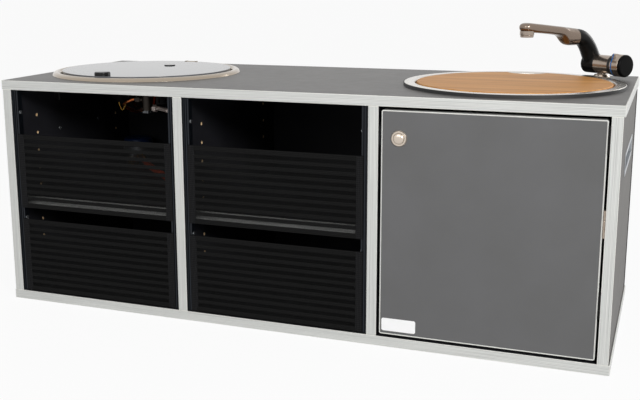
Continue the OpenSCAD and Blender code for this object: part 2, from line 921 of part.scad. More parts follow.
module valve_spindle() {
    low = valve_top - 20 + knob_push;
    top = knob_z + hob_knob_h - 2.2 - knob_push;
    color(steel)
        translate([valve_at[0], valve_at[1], low]) cylinder(h = top - low, r = spindle_r);
}

module hob_knob() {
    color(black)
        translate([valve_at[0], valve_at[1], knob_z])
            difference() {
                union() {
                    cylinder(h = 3, r = hob_knob_r);
                    cylinder(h = hob_knob_h, r1 = hob_knob_r - 1, r2 = hob_knob_r - 2.5);
                }
                translate([0, 0, -1])
                    cylinder(h = hob_knob_h - 1, r = spindle_r + pin_play);
            }
}

// Copper pipe from the valve to the burner holder
module gas_pipe() {
    low = well_z - 10;
    start = valve_at[0] - valve_r - 15;
    color("#b5683f")
        tube([
            [start, -valve_y, outlet_z],
            [start - 5, -valve_y, outlet_z - 0.5],
            [start - 14, -valve_y + 1, outlet_z - 4.5],
            [hob_x + 8, -valve_y + 4, outlet_z - 9],
            [hob_x + 2, -valve_y + 11, outlet_z - 13],
            [hob_x, -valve_y + 24, outlet_z - 19],
            [hob_x, -well_r - 8, low + 4],
            [hob_x, -well_r + 4, low],
            [hob_x, -holder_r - 3, low]
        ], gas_pipe_r - 0.75, 12, [0, 0, 1]);
}

// Inlet pipe with its nut at the valve and a ferrule at the hose
module inlet_pipe() {
    start = valve_at[0] + valve_r + 2;
    hose_end = hose_points[len(hose_points) - 1];
    color("#d8cfca") {
        translate([start, -valve_y, inlet_z]) rotate([0, 90, 0]) hexagon(6.5, 7);
        pipe([
            [start + 6, -valve_y, inlet_z],
            [start + 14, -valve_y, inlet_z],
            [hose_end[0] - 17, hose_end[1], inlet_top],
            [hose_end[0] - 8, hose_end[1], inlet_top],
            [hose_end[0], hose_end[1], inlet_top - 8],
            [hose_end[0], hose_end[1], hose_end[2] + 12]
        ], gas_pipe_r);
        translate(hose_end) cylinder(h = 14, r = hose_r + 1.2);
    }
}

// Four slotted brackets that grip the worktop from below
module hob_clamps() {
    arm_z = hob_floor_z - sheet_t - 2;
    reach = hob_cut_r + 14;
    color(silver)
        translate([hob_x, 0, 0])
            for (turn = [52.6, 127.4, 232.6, 307.4])
                rotate(turn) {
                    board([hob_floor_r - 9, -6, arm_z], [reach, 6, arm_z + 2]);
                    difference() {
                        board([reach - 2, -10.5, arm_z - 13], [reach, 10.5, top_low]);
                        for (y = [-5.5, 5.5])
                            board([reach - 3, y - 1.5, arm_z - 10], [reach + 1, y + 1.5, arm_z - 3]);
                    }
                }
}

// Two ears on the wall of the bowl, with the pin of the lid hinge
module lid_hinge_ears() {
    ear_from = lid_arm_w / 2 + 0.5;
    inside = concat([[0, cabinet_h - 3]], [[bead_r - 0.7, cabinet_h - 3], [bead_r, cabinet_h + 2.5],
        [bead_r, cabinet_h + 12], [0, cabinet_h + 12]]);
    color(steel) {
        intersection() {
            translate([hob_x, 0, 0]) rotate_extrude() polygon(inside);
            translate([lid_axis[0], 0, 0])
                for (side = [-1, 1])
                    translate([side * (ear_from + ear_w / 2) - ear_w / 2, lid_axis[1] - 3,
                               cabinet_h - 2])
                        cube([ear_w, 12, lid_axis[2] + 3 - cabinet_h + 2]);
        }
        translate([lid_axis[0] - ear_from - 1, lid_axis[1], lid_axis[2]])
            rotate([0, 90, 0]) cylinder(h = 2 * ear_from + 2, r = lid_pin_r);
    }
}

module glass_lid() {
    notch_w = lid_arm_w + 2 * ear_w + 4;
    color([0.75, 0.76, 0.78, 0.6])
        difference() {
            translate([hob_x, 0, glass_z]) cylinder(h = glass_t, r = glass_r);
            board([lid_axis[0] - notch_w / 2, lid_axis[1] - 6, glass_z - 1],
                  [lid_axis[0] + notch_w / 2, lid_axis[1] + 20, glass_z + glass_t + 1]);
            for (at = [[lid_axis[0], lid_axis[1] - lid_cap_y], [hob_x + lift_x, -lift_y]])
                translate([at[0], at[1], glass_z - 1]) cylinder(h = glass_t + 2, r = 3);
        }
}

// The lift knob, and the cap whose screw holds the glass on its arm
module lid_fittings() {
    color(black) {
        translate([hob_x + lift_x, -lift_y, glass_z]) {
            cylinder(h = glass_t, r = 3);
            translate([0, 0, glass_t]) cylinder(h = lift_h - 1.5, r = lift_r);
            translate([0, 0, glass_t + lift_h - 1.5]) cylinder(h = 1.5, r1 = lift_r, r2 = lift_r - 1.5);
        }
        translate([lid_axis[0], lid_axis[1] - lid_cap_y, glass_z]) {
            cylinder(h = glass_t, r = 3);
            translate([0, 0, glass_t]) cylinder(h = lid_cap_h, r = lid_cap_r);
        }
    }
}

module lid_arm() {
    arm_z = glass_z - lid_arm_t;
    color(steel) {
        difference() {
            union() {
                translate([lid_axis[0] - lid_arm_w / 2, lid_axis[1], lid_axis[2]])
                    rotate([0, 90, 0]) cylinder(h = lid_arm_w, r = lid_barrel_r);
                board([lid_axis[0] - lid_arm_w / 2, lid_axis[1] - 5, arm_z],
                      [lid_axis[0] + lid_arm_w / 2, lid_axis[1], lid_axis[2] - 1.5]);
                board([lid_axis[0] - lid_arm_w / 2, lid_axis[1] - lid_cap_y, arm_z],
                      [lid_axis[0] + lid_arm_w / 2, lid_axis[1] - 4, glass_z]);
                translate([lid_axis[0], lid_axis[1] - lid_cap_y, arm_z])
                    cylinder(h = lid_arm_t, r = lid_arm_w / 2);
            }
            translate([lid_axis[0] - lid_arm_w, lid_axis[1], lid_axis[2]])
                rotate([0, 90, 0]) cylinder(h = 2 * lid_arm_w, r = lid_pin_r + pin_play);
        }
    }
}

module regulator_body() {
    color(silver)
        translate(regulator_at) {
            translate([0, 0, 15]) cylinder(h = 16, r = 7.5);
            rod([0, 0, 20.5], [11, 0, 20.5], 5.2);
            translate([disc_shift, 0, 30]) cylinder(h = 11, r = 31);
        }
}

module regulator_cap() {
    color("#23406e")
        translate(regulator_at + [disc_shift, 0, 41]) {
            cylinder(h = 4, r = 30);
            translate([0, 0, 4]) cylinder(h = 10, r1 = 30, r2 = 28);
            translate([0, 0, 14]) cylinder(h = 2, r1 = 28, r2 = 24);
        }
}

// Union nut below, outlet nut, elbow and the ferrule on the hose
module regulator_fittings() {
    hose_start = hose_points[0];
    along = (hose_points[0] - hose_points[1]) / norm(hose_points[0] - hose_points[1]);
    tail = hose_start + 11 * along;
    color(brass) {
        translate(regulator_at)
            difference() {
                hexagon(13.4, 15);
                translate([0, 0, -1]) cylinder(h = 12, r = 10.3);
            }
        translate(regulator_at + [11, 0, 20.5]) rotate([0, 90, 0]) hexagon(6.4, 11);
        pipe([regulator_at + [21, 0, 20.5], regulator_at + [24.5, 1.5, 19.5], tail], 4);
        rod(tail, hose_start, hose_r + 0.4);
    }
}

module gas_hose() {
    color("#c8460f") tube(hose_points, hose_r, hose_sides, hose_across);
}

module sink_gasket() {
    lip = sink_rim_r + 0.2;
    color(black)
        translate([sink_x, 0, 0])
            rotate_extrude()
                polygon([
                    [sink_cut_r, cabinet_h], [gasket_r, cabinet_h],
                    [gasket_r - 0.6, sink_top - 0.2], [lip + sheet_t, sink_top - 0.2],
                    [lip + sheet_t, cabinet_h + gasket_t - sheet_t], [sink_cut_r, cabinet_h + gasket_t - sheet_t]
                ]);
}

module sink_basin() {
    line = [
        [sink_rim_r, sink_top],
        [board_recess_r + 3.5, sink_top],
        [board_recess_r + 1, sink_top - 0.8],
        [board_recess_r, sink_top - 3],
        [board_recess_r, ledge_z],
        [basin_r, ledge_z],
        [basin_r - 1, ledge_z - 5],
        [basin_r - 5, basin_z + 22],
        [basin_r - 9, basin_z + 9],
        [basin_r - 18, basin_z + 2],
        [basin_r - 28, basin_z],
        [drain_r, basin_z]
    ];
    color(steel) translate([sink_x, 0, 0]) rotate_extrude() polygon(sheet(line, sheet_t));
}

module sink_drain() {
    low = basin_z - sheet_t;
    color(black)
        translate([sink_x, 0, 0]) {
            difference() {
                union() {
                    translate([0, 0, basin_z]) cylinder(h = 1.5, r = drain_r + 12);
                    translate([0, 0, low - 14]) cylinder(h = 16, r = drain_r);
                }
                for (turn = [0:60:300])
                    rotate(turn) translate([11, 0, low - 15]) cylinder(h = 20, r = 3);
            }
            translate([0, 0, low - 10]) difference() {
                cylinder(h = 10, r = drain_r + 8);
                translate([0, 0, -1]) cylinder(h = 12, r = drain_r);
            }
            translate([0, 0, low - drain_len])
                difference() {
                    cylinder(h = drain_len - 14, r = drain_tail_r);
                    translate([0, 0, -1]) cylinder(h = drain_len - 14 + 2, r = drain_tail_r - 2);
                }
        }
}

module cutting_board() {
    color(wood)
        difference() {
            translate([sink_x, 0, ledge_z]) {
                cylinder(h = chop_t - 1, r = chop_r);
                translate([0, 0, chop_t - 1]) cylinder(h = 1, r1 = chop_r, r2 = chop_r - 1);
            }
            translate([sink_x, chop_r + notch_r - notch_depth, ledge_z - 1])
                cylinder(h = chop_t + 2, r = notch_r);
        }
}

module tap_foot() {
    under = -board_t;
    color(nickel)
        translate(tap_at) {
            difference() {
                union() {
                    cylinder(h = 2, r = tap_foot_r);
                    translate([0, 0, 2]) cylinder(h = tap_foot_h - 2, r1 = tap_foot_r, r2 = tap_foot_r - 3);
                    translate([0, 0, under - tap_shank_len])
                        cylinder(h = tap_shank_len + board_t, r = tap_shank_r);
                }
                translate([0, 0, -8]) cylinder(h = 20, r = tap_spindle_r + pin_play);
            }
            translate([0, 0, under - tap_nut_h])
                difference() {
                    hexagon(tap_nut_r, tap_nut_h);
                    translate([0, 0, -1]) cylinder(h = tap_nut_h + 2, r = tap_shank_r);
                }
            translate([0, 0, under - tap_shank_len - tap_tail_len])
                cylinder(h = tap_tail_len, r = tap_tail_r);
        }
}

// The tap's frame: +X along its body to the front right, the spout towards -Y
module at_tap() {
    translate(tap_at) rotate(-tap_turn) children();
}

// A round piece along the tap body's axis
module tap_round(from, to, r1, r2) {
    translate([from, 0, tap_axis_h]) rotate([0, 90, 0]) cylinder(h = to - from, r1 = r1, r2 = r2);
}

module tap_body() {
    color(nickel)
        at_tap() {
            tap_round(-tap_body_back, tap_body_front, tap_body_r, tap_body_r);
            tap_round(tap_body_front, ring_from + tap_ring_w - 3, tap_spindle_r, tap_spindle_r);
            tap_round(knuckle_from + 4, -tap_body_back, tap_spindle_r, tap_spindle_r);
            translate([0, 0, neck_z]) cylinder(h = tap_axis_h - neck_z, r = tap_body_back);
            translate([0, 0, -7]) cylinder(h = neck_z + 8, r = tap_spindle_r);
        }
}

module tap_seal() {
    color(black)
        at_tap()
            difference() {
                tap_round(tap_body_front, tap_body_front + tap_seal_w, tap_seal_r, tap_seal_r);
                tap_round(tap_body_front - 1, ring_from, tap_spindle_r, tap_spindle_r);
            }
}

module tap_control_ring() {
    color(nickel)
        at_tap()
            difference() {
                union() {
                    tap_round(ring_from, ring_from + tap_ring_w, tap_ring_r, tap_ring_r);
                    translate([ring_from + 3, 0, tap_axis_h])
                        rotate([tap_lobe_turn, 0, 0])
                            translate([0, 0, tap_ring_r - 1.5])
                                rotate([0, 90, 0])
                                    cylinder(h = tap_ring_w - 6, r = tap_lobe_h + 1.5);
                }
                tap_round(ring_from - 1, ring_from + tap_ring_w - 2,
                          tap_spindle_r + pin_play, tap_spindle_r + pin_play);
            }
}

module tap_end_knob() {
    to = ring_from + tap_ring_w + tap_knob_w;
    color(black)
        at_tap() {
            tap_round(ring_from + tap_ring_w, to - 2, tap_ring_r, tap_ring_r);
            tap_round(to - 2, to, tap_ring_r, tap_ring_r - 2);
        }
}

// Points on a circle, for an outline
function arc(x, z, r, from, to, step) =
    [for (a = [from:step:to]) [x + r * cos(a), z + r * sin(a)]];

// A side outline in the tap's frame, [distance from the tap, height over the worktop],
// as a block of the spout's width
module spout_block(outline, w) {
    translate([(knuckle_from + knuckle_to + w) / 2, 0, 0])
        rotate([0, -90, 0])
            linear_extrude(w)
                polygon([for (p = outline) [p[1], -p[0]]]);
}

module spout_elbow() {
    outline = concat(
        [[spout_joint, 57.8], [spout_joint, 82.8], [34, 81.6], [26.6, 78.8], [15.5, 71.2],
         [6.9, 61.3], [0.9, 51.5], [-3.3, 44.5], [-8, 38]],
        arc(0, tap_axis_h, spout_knuckle_r, 130, 360, 10),
        [[17.9, 31.5], [22.1, 38.5], [27.1, 46.7], [32.5, 52.8], [37.4, 56.2]]
    );
    color(black)
        at_tap()
            difference() {
                spout_block(outline, spout_w);
                tap_round(knuckle_from + 3, knuckle_to + 1,
                          tap_spindle_r + pin_play, tap_spindle_r + pin_play);
            }
}

module spout_arm() {
    nose = aerator_x + spout_w / 2 - 0.5;
    outline = [
        [spout_joint, 82.8], [spout_joint, 57.8], [64, 58.2], [77.6, 60.7], [86.7, 66.6],
        [91.8, 72.8], [98.5, 75.4], [118.4, 78.4], [144.5, 81.7], [nose - 3, 84.5],
        [nose, 87.5], [nose, 91.5], [nose - 3, 95], [nose - 8, 96.8], [158, 96.5],
        [119.3, 91.6], [92.8, 88]
    ];
    color(nickel)
        at_tap() {
            difference() {
                intersection() {
                    spout_block(outline, spout_w);
                    translate([(knuckle_from + knuckle_to) / 2, -(spout_joint + nose) / 2 + 7, 0])
                        linear_extrude(120)
                            rounded(spout_w, nose - spout_joint + 14, spout_w / 2 - 0.5);
                }
                translate([(knuckle_from + knuckle_to) / 2, -aerator_x, 70])
                    cylinder(h = 18, r = aerator_r - 1.5);
            }
        }
}

module aerator() {
    color(black)
        at_tap()
            translate([(knuckle_from + knuckle_to) / 2, -aerator_x, 0])
                difference() {
                    translate([0, 0, 74]) cylinder(h = 14, r = aerator_r - 1.5);
                    translate([0, 0, 73]) cylinder(h = 5, r = aerator_r - 4);
                }
}

// A rounded slab in the door's plane, from y to y + t
module door_slab(w, h, r, y, t) {
    translate([door_x + door_w / 2, y + t, door_z + door_h / 2])
        rotate([90, 0, 0]) linear_extrude(t) rounded(w, h, r);
}

module door_panel() {
    w = door_w - 2 * edging_t;
    h = door_h - 2 * edging_t;
    color(slate)
        difference() {
            door_slab(w, h, door_corner - edging_t, front, door_t);
            translate(lock_at - [0, 1, 0])
                rotate([-90, 0, 0]) cylinder(h = door_t + 2, d = lock_barrel_d);
        }
}

module door_edging() {
    w = door_w - 2 * edging_t;
    h = door_h - 2 * edging_t;
    color(silver)
        difference() {
            door_slab(door_w, door_h, door_corner, front, door_t);
            door_slab(w, h, door_corner - edging_t, front - 1, door_t + 2);
        }
}

// A stretch of hinge knuckle, and the tab from it to a leaf. The frame's own are closed on
// their pin, and the door's run on it.
module knuckle(z, h, side) {
    translate([hinge_x, front, z])
        difference() {
            union() {
                cylinder(h = h, d = knuckle_d);
                translate([side > 0 ? 0.9 : -door_hinge_gap / 2, 0, 0])
                    cube([door_hinge_gap / 2 - 0.9, 4, h]);
            }
            if (side < 0)
                translate([0, 0, -1]) cylinder(h = h + 2, d = hinge_pin_d + 2 * pin_play);
        }
}

module door_leaves() {
    color(nickel)
        for (z = hinge_z) {
            knuckle(z + knuckle_h + 0.3, knuckle_h - 0.6, -1);
            board([door_right, front + 3, z], [door_right + leaf_t, front + 3 + door_leaf_d, z + hinge_h]);
        }
}

module frame_leaves() {
    color(nickel)
        for (z = hinge_z) {
            for (k = [0, 2]) knuckle(z + k * knuckle_h, knuckle_h, 1);
            translate([hinge_x, front, z]) cylinder(h = hinge_h, d = hinge_pin_d);
            board([right_x - leaf_t, front + 3, z], [right_x, front + 3 + frame_leaf_d, z + hinge_h]);
        }
}

// A foot on the divider and a plate that the bolt slides behind
module strike() {
    z = lock_at[2] - strike_h / 2;
    plate_y = bolt_front - bolt_play - 0.2 - strike_t;
    color(steel) {
        board([bay3_x, plate_y, z], [bay3_x + strike_reach, plate_y + strike_t, z + strike_h]);
        board([bay3_x, plate_y, z], [bay3_x + 1.5, plate_y + strike_foot_d, z + strike_h]);
    }
}

module lock_body() {
    case = lock_case_w / 2;
    inner = button_d / 2 + pin_play;
    depth = door_t + button_travel;
    color(nickel)
        translate(lock_at)
            difference() {
                union() {
                    translate([0, -lock_flange_t, 0]) rotate([-90, 0, 0])
                        cylinder(h = lock_flange_t, d1 = lock_flange_d - 3, d2 = lock_flange_d);
                    rotate([-90, 0, 0]) cylinder(h = door_t, d = lock_barrel_d);
                    board([-case, door_t, -case], [case, door_t + lock_case_d, case]);
                }
                translate([0, -lock_flange_t - 1, 0]) rotate([-90, 0, 0])
                    cylinder(h = lock_flange_t + depth - 4, r = inner);
                board([-case - 1, door_t + lock_wall - bolt_play, -bolt_h / 2 - bolt_play],
                      [case - 3, door_t + lock_wall + bolt_w + bolt_play, bolt_h / 2 + bolt_play]);
            }
}

module lock_button() {
    from = -lock_flange_t - button_out;
    to = door_t - 6;
    color(nickel)
        translate(lock_at)
            rotate([-90, 0, 0]) {
                translate([0, 0, from]) cylinder(h = 1, d1 = button_d - 2, d2 = button_d);
                translate([0, 0, from + 1]) cylinder(h = to - from - 1, d = button_d);
            }
}

module lock_bolt() {
    case = lock_case_w / 2;
    color(steel)
        translate(lock_at)
            board([-case, door_t + lock_wall, -bolt_h / 2],
                  [case - 5, door_t + lock_wall + bolt_w, bolt_h / 2]);
}

module label_plate() {
    color("white")
        translate([door_x + edging_t + label_margin + label_w / 2 - 3, front,
                   door_z + edging_t + label_margin + label_h / 2 - 1])
            rotate([90, 0, 0]) linear_extrude(label_t) rounded(label_w, label_h, 3);
}

base_panel();
worktop_panel();
left_side_panel();
right_side_panel();
left_divider();
right_divider();
back_panel();
left_shelf();
middle_shelf();
worktop_edging();
base_edging();
inner_edging();
shelf_pins();
net_rails();
panel_screws();
left_upper_net();
left_lower_net();
middle_upper_net();
middle_lower_net();
left_grip();
right_grip();
hob_bowl();
burner_body();
burner_cap();
pan_support();
gas_valve();
valve_spindle();
gas_pipe();
inlet_pipe();
hob_clamps();
lid_hinge_ears();
hob_knob();
glass_lid();
lid_fittings();
lid_arm();
regulator_body();
regulator_cap();
regulator_fittings();
gas_hose();
sink_gasket();
sink_basin();
sink_drain();
cutting_board();
tap_foot();
tap_body();
tap_seal();
tap_control_ring();
tap_end_knob();
spout_elbow();
spout_arm();
aerator();
door_panel();
door_edging();
door_leaves();
frame_leaves();
strike();
lock_body();
lock_button();
lock_bolt();
label_plate();
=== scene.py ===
# %% [markdown]
# A camper kitchen module, dressed for its portrait. The solids of the cabinet, hob, sink, tap
# and door come from the imported frame. Each step gives a piece its real edges, weave or finish.
# Nothing added later may leave it by much.

# %% Load the frame
import json
import math
import bmesh
import bpy
from mathutils import Matrix, Vector

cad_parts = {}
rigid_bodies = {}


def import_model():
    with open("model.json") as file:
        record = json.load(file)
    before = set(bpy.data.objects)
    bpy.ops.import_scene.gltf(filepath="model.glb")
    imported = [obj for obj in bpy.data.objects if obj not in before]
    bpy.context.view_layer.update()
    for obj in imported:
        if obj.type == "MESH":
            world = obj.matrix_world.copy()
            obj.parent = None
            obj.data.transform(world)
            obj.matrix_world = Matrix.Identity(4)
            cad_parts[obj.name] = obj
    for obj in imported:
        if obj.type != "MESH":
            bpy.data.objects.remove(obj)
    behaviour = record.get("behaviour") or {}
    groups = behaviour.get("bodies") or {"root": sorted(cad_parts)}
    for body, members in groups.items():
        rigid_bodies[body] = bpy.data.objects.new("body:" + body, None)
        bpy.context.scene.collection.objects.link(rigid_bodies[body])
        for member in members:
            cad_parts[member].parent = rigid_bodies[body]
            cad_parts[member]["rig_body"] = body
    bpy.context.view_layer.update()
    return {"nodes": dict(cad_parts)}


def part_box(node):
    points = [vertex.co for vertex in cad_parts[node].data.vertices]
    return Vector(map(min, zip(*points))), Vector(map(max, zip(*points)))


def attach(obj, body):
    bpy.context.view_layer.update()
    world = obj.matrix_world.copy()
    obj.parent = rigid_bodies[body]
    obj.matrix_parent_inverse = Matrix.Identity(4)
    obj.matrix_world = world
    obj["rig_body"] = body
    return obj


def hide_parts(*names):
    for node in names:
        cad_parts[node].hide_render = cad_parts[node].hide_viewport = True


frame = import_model()

MM = 0.001


def placed(name, data):
    """An object of some data, put in the scene."""
    piece = bpy.data.objects.new(name, data)
    bpy.context.collection.objects.link(piece)
    return piece


# %% [markdown]
# A product picture is taken from a little above the worktop with a longish lens. The place and
# turn of the camera follow from the edges of the cabinet, and the small shift puts the picture's
# middle where the cut-out picture has it.

# %% Camera
CAMERA_AT = (0.5762, -1.6080, 0.5767)
CAMERA_TURN = 21.16
CAMERA_TILT = 12.07
CAMERA_ROLL = -0.33
LENS_MM = 55.49

camera_data = bpy.data.cameras.new("portrait_camera")
camera_data.sensor_width = 36
camera_data.lens = LENS_MM
camera_data.shift_x = 0.0373
camera_data.shift_y = -0.0289
camera = placed("portrait_camera", camera_data)
look = (Matrix.Rotation(math.radians(CAMERA_TURN), 4, "Z")
        @ Matrix.Rotation(math.radians(90 - CAMERA_TILT), 4, "X")
        @ Matrix.Rotation(math.radians(CAMERA_ROLL), 4, "Z"))
camera.matrix_world = Matrix.Translation(CAMERA_AT) @ look
bpy.context.scene.camera = camera
print("camera at", CAMERA_AT, "with a lens of", LENS_MM, "mm")

# %% [markdown]
# The gas hose is a rubber tube of 13 mm outside. It leaves the elbow of the hob's inlet pipe,
# drops behind the net rail and lies across the shelf to the regulator. A curve through the
# points of its route, with a round bevel, bends as smoothly as rubber does.

# %% Gas hose
HOSE_ROUTE = [
    (-432, 140, 194), (-418, 122, 194), (-400, 101, 194), (-380, 80, 194), (-359, 59, 194),
    (-339, 39, 194), (-320, 18, 194), (-302, -5, 194), (-285, -29, 194), (-269, -54, 194),
    (-254, -79, 194), (-241, -96, 194), (-228, -113, 197.7), (-217, -127, 210.1),
    (-209, -137, 228.7), (-207, -140, 249.8), (-207, -140, 272.1), (-207, -140, 295.7),
    (-207, -140, 318),
]
HOSE_D = 0.013
HOSE_SMOOTH = 6


def smooth_line(points, steps):
    """Points on a smooth line through all the given points."""
    ends = [2 * points[0] - points[1]] + points + [2 * points[-1] - points[-2]]
    line = []
    for i in range(1, len(ends) - 2):
        a, b, c, d = ends[i - 1:i + 3]
        for k in range(steps):
            t = k / steps
            line.append(0.5 * ((2 * b) + (c - a) * t + (2 * a - 5 * b + 4 * c - d) * t ** 2
                               + (3 * b - a - 3 * c + d) * t ** 3))
    return line + [points[-1]]


def line_length(line):
    """Length along a line of points."""
    return sum((b - a).length for a, b in zip(line, line[1:]))


def tube_curve(name, line, radius, sides=10):
    """A curve object that is a round tube along a line of points."""
    data = bpy.data.curves.new(name, "CURVE")
    data.dimensions = "3D"
    data.bevel_depth = radius
    data.bevel_resolution = sides // 2
    data.use_fill_caps = True
    spline = data.splines.new("POLY")
    spline.points.add(len(line) - 1)
    for point, place in zip(spline.points, line):
        point.co = (*place, 1)
    spline.use_smooth = True
    return placed(name, data)


hose_line = smooth_line([Vector(p) * MM for p in reversed(HOSE_ROUTE)], HOSE_SMOOTH)
hose = tube_curve("gas_hose_rubber", hose_line, HOSE_D / 2, 16)
hose_length = round(line_length(hose_line), 3)
print("gas hose", hose_length, "m")

# %% [markdown]
# Materials are built from nodes. One function adds a node with its settings and its links, and
# one turns a hex colour, as read off a colour chart, into the linear numbers a shader needs.

# %% Colours and nodes
FULL_TURN = 6.283


def linear(hex_colour):
    """A hex colour as linear red, green, blue and full alpha."""
    parts = [int(hex_colour[i:i + 2], 16) / 255 for i in (1, 3, 5)]
    return tuple(c / 12.92 if c <= 0.04045 else ((c + 0.055) / 1.055) ** 2.4
                 for c in parts) + (1.0,)


def add(tree, kind, settings=None, **links):
    """A node of a kind, with settings by name and inputs by name, as a value or a socket."""
    node = tree.nodes.new(kind)
    for key, value in (settings or {}).items():
        setattr(node, key, value)
    for key, value in links.items():
        socket = node.inputs[int(key[1:])] if key[0] == "_" else node.inputs[key.replace("__", " ")]
        if isinstance(value, bpy.types.NodeSocket):
            tree.links.new(value, socket)
        else:
            socket.default_value = value
    return node


print("middle grey #808080 is", round(linear("#808080")[0], 3), "in a shader")

# %% [markdown]
# Every finish starts from a principled shader. Noise in the object's own coordinates varies its
# colour, its gloss and its relief, so a pattern stays on its piece when the piece moves.

# %% Finishes from noise


def finish(name, colour, roughness, metallic=0.0):
    """A material with a principled shader, and its tree, shader and object coordinates."""
    material = bpy.data.materials.new(name)
    material.use_nodes = True
    tree = material.node_tree
    shader = tree.nodes["Principled BSDF"]
    shader.inputs["Base Color"].default_value = linear(colour)
    shader.inputs["Roughness"].default_value = roughness
    shader.inputs["Metallic"].default_value = metallic
    place = add(tree, "ShaderNodeTexCoord").outputs["Object"]
    return material, tree, shader, place


def stretched(tree, place, scale):
    """Object coordinates scaled along each axis, in pattern cells per metre."""
    return add(tree, "ShaderNodeMapping", Vector=place, Scale=scale).outputs["Vector"]


def noise(tree, place, scale, detail=3.0, rough=0.5):
    """Noise of so many cells per unit, between 0 and 1."""
    node = add(tree, "ShaderNodeTexNoise", Vector=place, Scale=scale, Detail=detail,
               Roughness=rough)
    return node.outputs["Fac"]


def tones(tree, factor, stops):
    """A colour ramp through hex colours at their places."""
    ramp = add(tree, "ShaderNodeValToRGB", Fac=factor)
    while len(ramp.color_ramp.elements) < len(stops):
        ramp.color_ramp.elements.new(0.5)
    for element, (at, colour) in zip(ramp.color_ramp.elements, stops):
        element.position = at
        element.color = linear(colour)
    return ramp.outputs["Color"]


def bumped(tree, shader, height, depth, strength=1.0):
    """Relief of a depth in metres from a height between 0 and 1."""
    bump = add(tree, "ShaderNodeBump", Height=height, Distance=depth, Strength=strength)
    tree.links.new(bump.outputs["Normal"], shader.inputs["Normal"])


def between(tree, factor, low, high):
    """A factor from 0 to 1 mapped to another range."""
    node = add(tree, "ShaderNodeMapRange", Value=factor)
    node.inputs["To Min"].default_value = low
    node.inputs["To Max"].default_value = high
    return node.outputs["Result"]


def darkened(tree, base, over, share):
    """A colour multiplied by a second one for a share."""
    mixed = add(tree, "ShaderNodeMix", {"data_type": "RGBA", "blend_type": "MULTIPLY"}, _6=base,
                _7=over)
    mixed.inputs["Factor"].default_value = share
    return mixed.outputs[2]


print("a mapping, noise, a ramp, relief and a range are at hand")

# %% [markdown]
# The boards are chipboard faced with melamine: a printed paper pressed on with resin. The eye
# gets a flat slate grey with a fine pearl texture, and very light clouding. The pearl is about
# half a millimetre, drawn at 1 mm so that it shows.

# %% Melamine boards
PEARL_CELLS = 1000


def melamine(name, dark, light, roughness, shine=0.5):
    """Melamine facing between two near tones, with a pearl texture."""
    material, tree, shader, place = finish(name, light, roughness)
    shader.inputs["Specular IOR Level"].default_value = shine
    cloud = noise(tree, place, 9.0, 4.0)
    tree.links.new(tones(tree, cloud, [(0.35, dark), (0.65, light)]), shader.inputs["Base Color"])
    grit = noise(tree, place, PEARL_CELLS, 2.0)
    tree.links.new(between(tree, noise(tree, place, 60.0), roughness - 0.04, roughness + 0.05),
                   shader.inputs["Roughness"])
    bumped(tree, shader, grit, 0.00006, 0.5)
    return material


slate_top = melamine("slate_melamine_top", "#5b5957", "#62605e", 0.42, shine=0.3)
slate_door = melamine("slate_melamine_door", "#595959", "#5e5e5f", 0.46)
# The sides, dividers, back and shelves take the same slate melamine, painted darker and browner as
# shade.
slate_side_painted_shade = melamine("slate_melamine_side_painted_shade", "#4b4845", "#53504c", 0.5, shine=0.3)
black_board = melamine("black_melamine_inside", "#1f1f22", "#27272b", 0.42, shine=0.1)
print("3 slate facings and a black one")

# %% [markdown]
# The front edges carry silver ABS edging, 2 mm thick, that is extruded and brushed: streaks run
# along its length, and its two long edges catch the light as pale lines. Noise that is drawn
# out along one axis gives the streaks.

# %% Silver edging


def brushed_edging(name, scale, lines="Z", low="#b7b8b5", high="#e0e1dd"):
    """Silver plastic with streaks, from the cells per metre along each axis."""
    material, tree, shader, place = finish(name, high, 0.36, 0.2)
    streak = noise(tree, stretched(tree, place, scale), 1.0, 4.0, 0.65)
    base = tones(tree, streak, [(0.3, low), (0.5, "#d0d1ce"), (0.7, high)])
    wavy = add(tree, "ShaderNodeTexWave", {"bands_direction": lines}, Vector=place, Scale=150.0,
               Distortion=3.0, Detail=1.0)
    wavy.inputs["Detail Scale"].default_value = 0.12
    cut = tones(tree, wavy.outputs["Fac"], [(0.05, "#a9a9a6"), (0.3, "#ffffff")])
    tree.links.new(darkened(tree, base, cut, 0.3), shader.inputs["Base Color"])
    tree.links.new(between(tree, streak, 0.28, 0.42), shader.inputs["Roughness"])
    bumped(tree, shader, wavy.outputs["Fac"], 0.00008, 0.5)
    return material


edging_lengthwise = brushed_edging("silver_edging_lengthwise", (5, 5, 900))
edging_upright = brushed_edging("silver_edging_upright", (900, 900, 5), "X")
edging_end = brushed_edging("silver_edging_end", (900, 4, 900))
# The shelf edging is the same silver edging, painted dark grey as shade behind the nets.
edging_shelf_painted_shade = brushed_edging("silver_edging_shelf_painted_shade", (5, 5, 900), "Z", "#424546", "#5a5d5e")
# The round on the strips' long edges takes a paler silver, as painted highlight.
edging_round_painted_highlight, *_ = finish("silver_edging_border_painted_highlight", "#e4e4de", 0.3, 0.2)
print("4 brushed edgings and their border line")

# %% [markdown]
# The net rails are extruded aluminium, anodised black: bluish black, with fine die lines along
# the profile. The grips are silver-lacquered plastic with a faint orange peel.

# %% Rails, grips and screws


def anodised_black():
    """Black anodised aluminium with die lines along Z."""
    material, tree, shader, place = finish("anodised_aluminium_black", "#15181d", 0.36, 0.6)
    lines = noise(tree, stretched(tree, place, (1400, 1400, 6)), 1.0, 3.0)
    tree.links.new(tones(tree, lines, [(0.3, "#0e1014"), (0.7, "#1f242b")]),
                   shader.inputs["Base Color"])
    tree.links.new(between(tree, lines, 0.28, 0.44), shader.inputs["Roughness"])
    bumped(tree, shader, lines, 0.00003, 0.5)
    return material


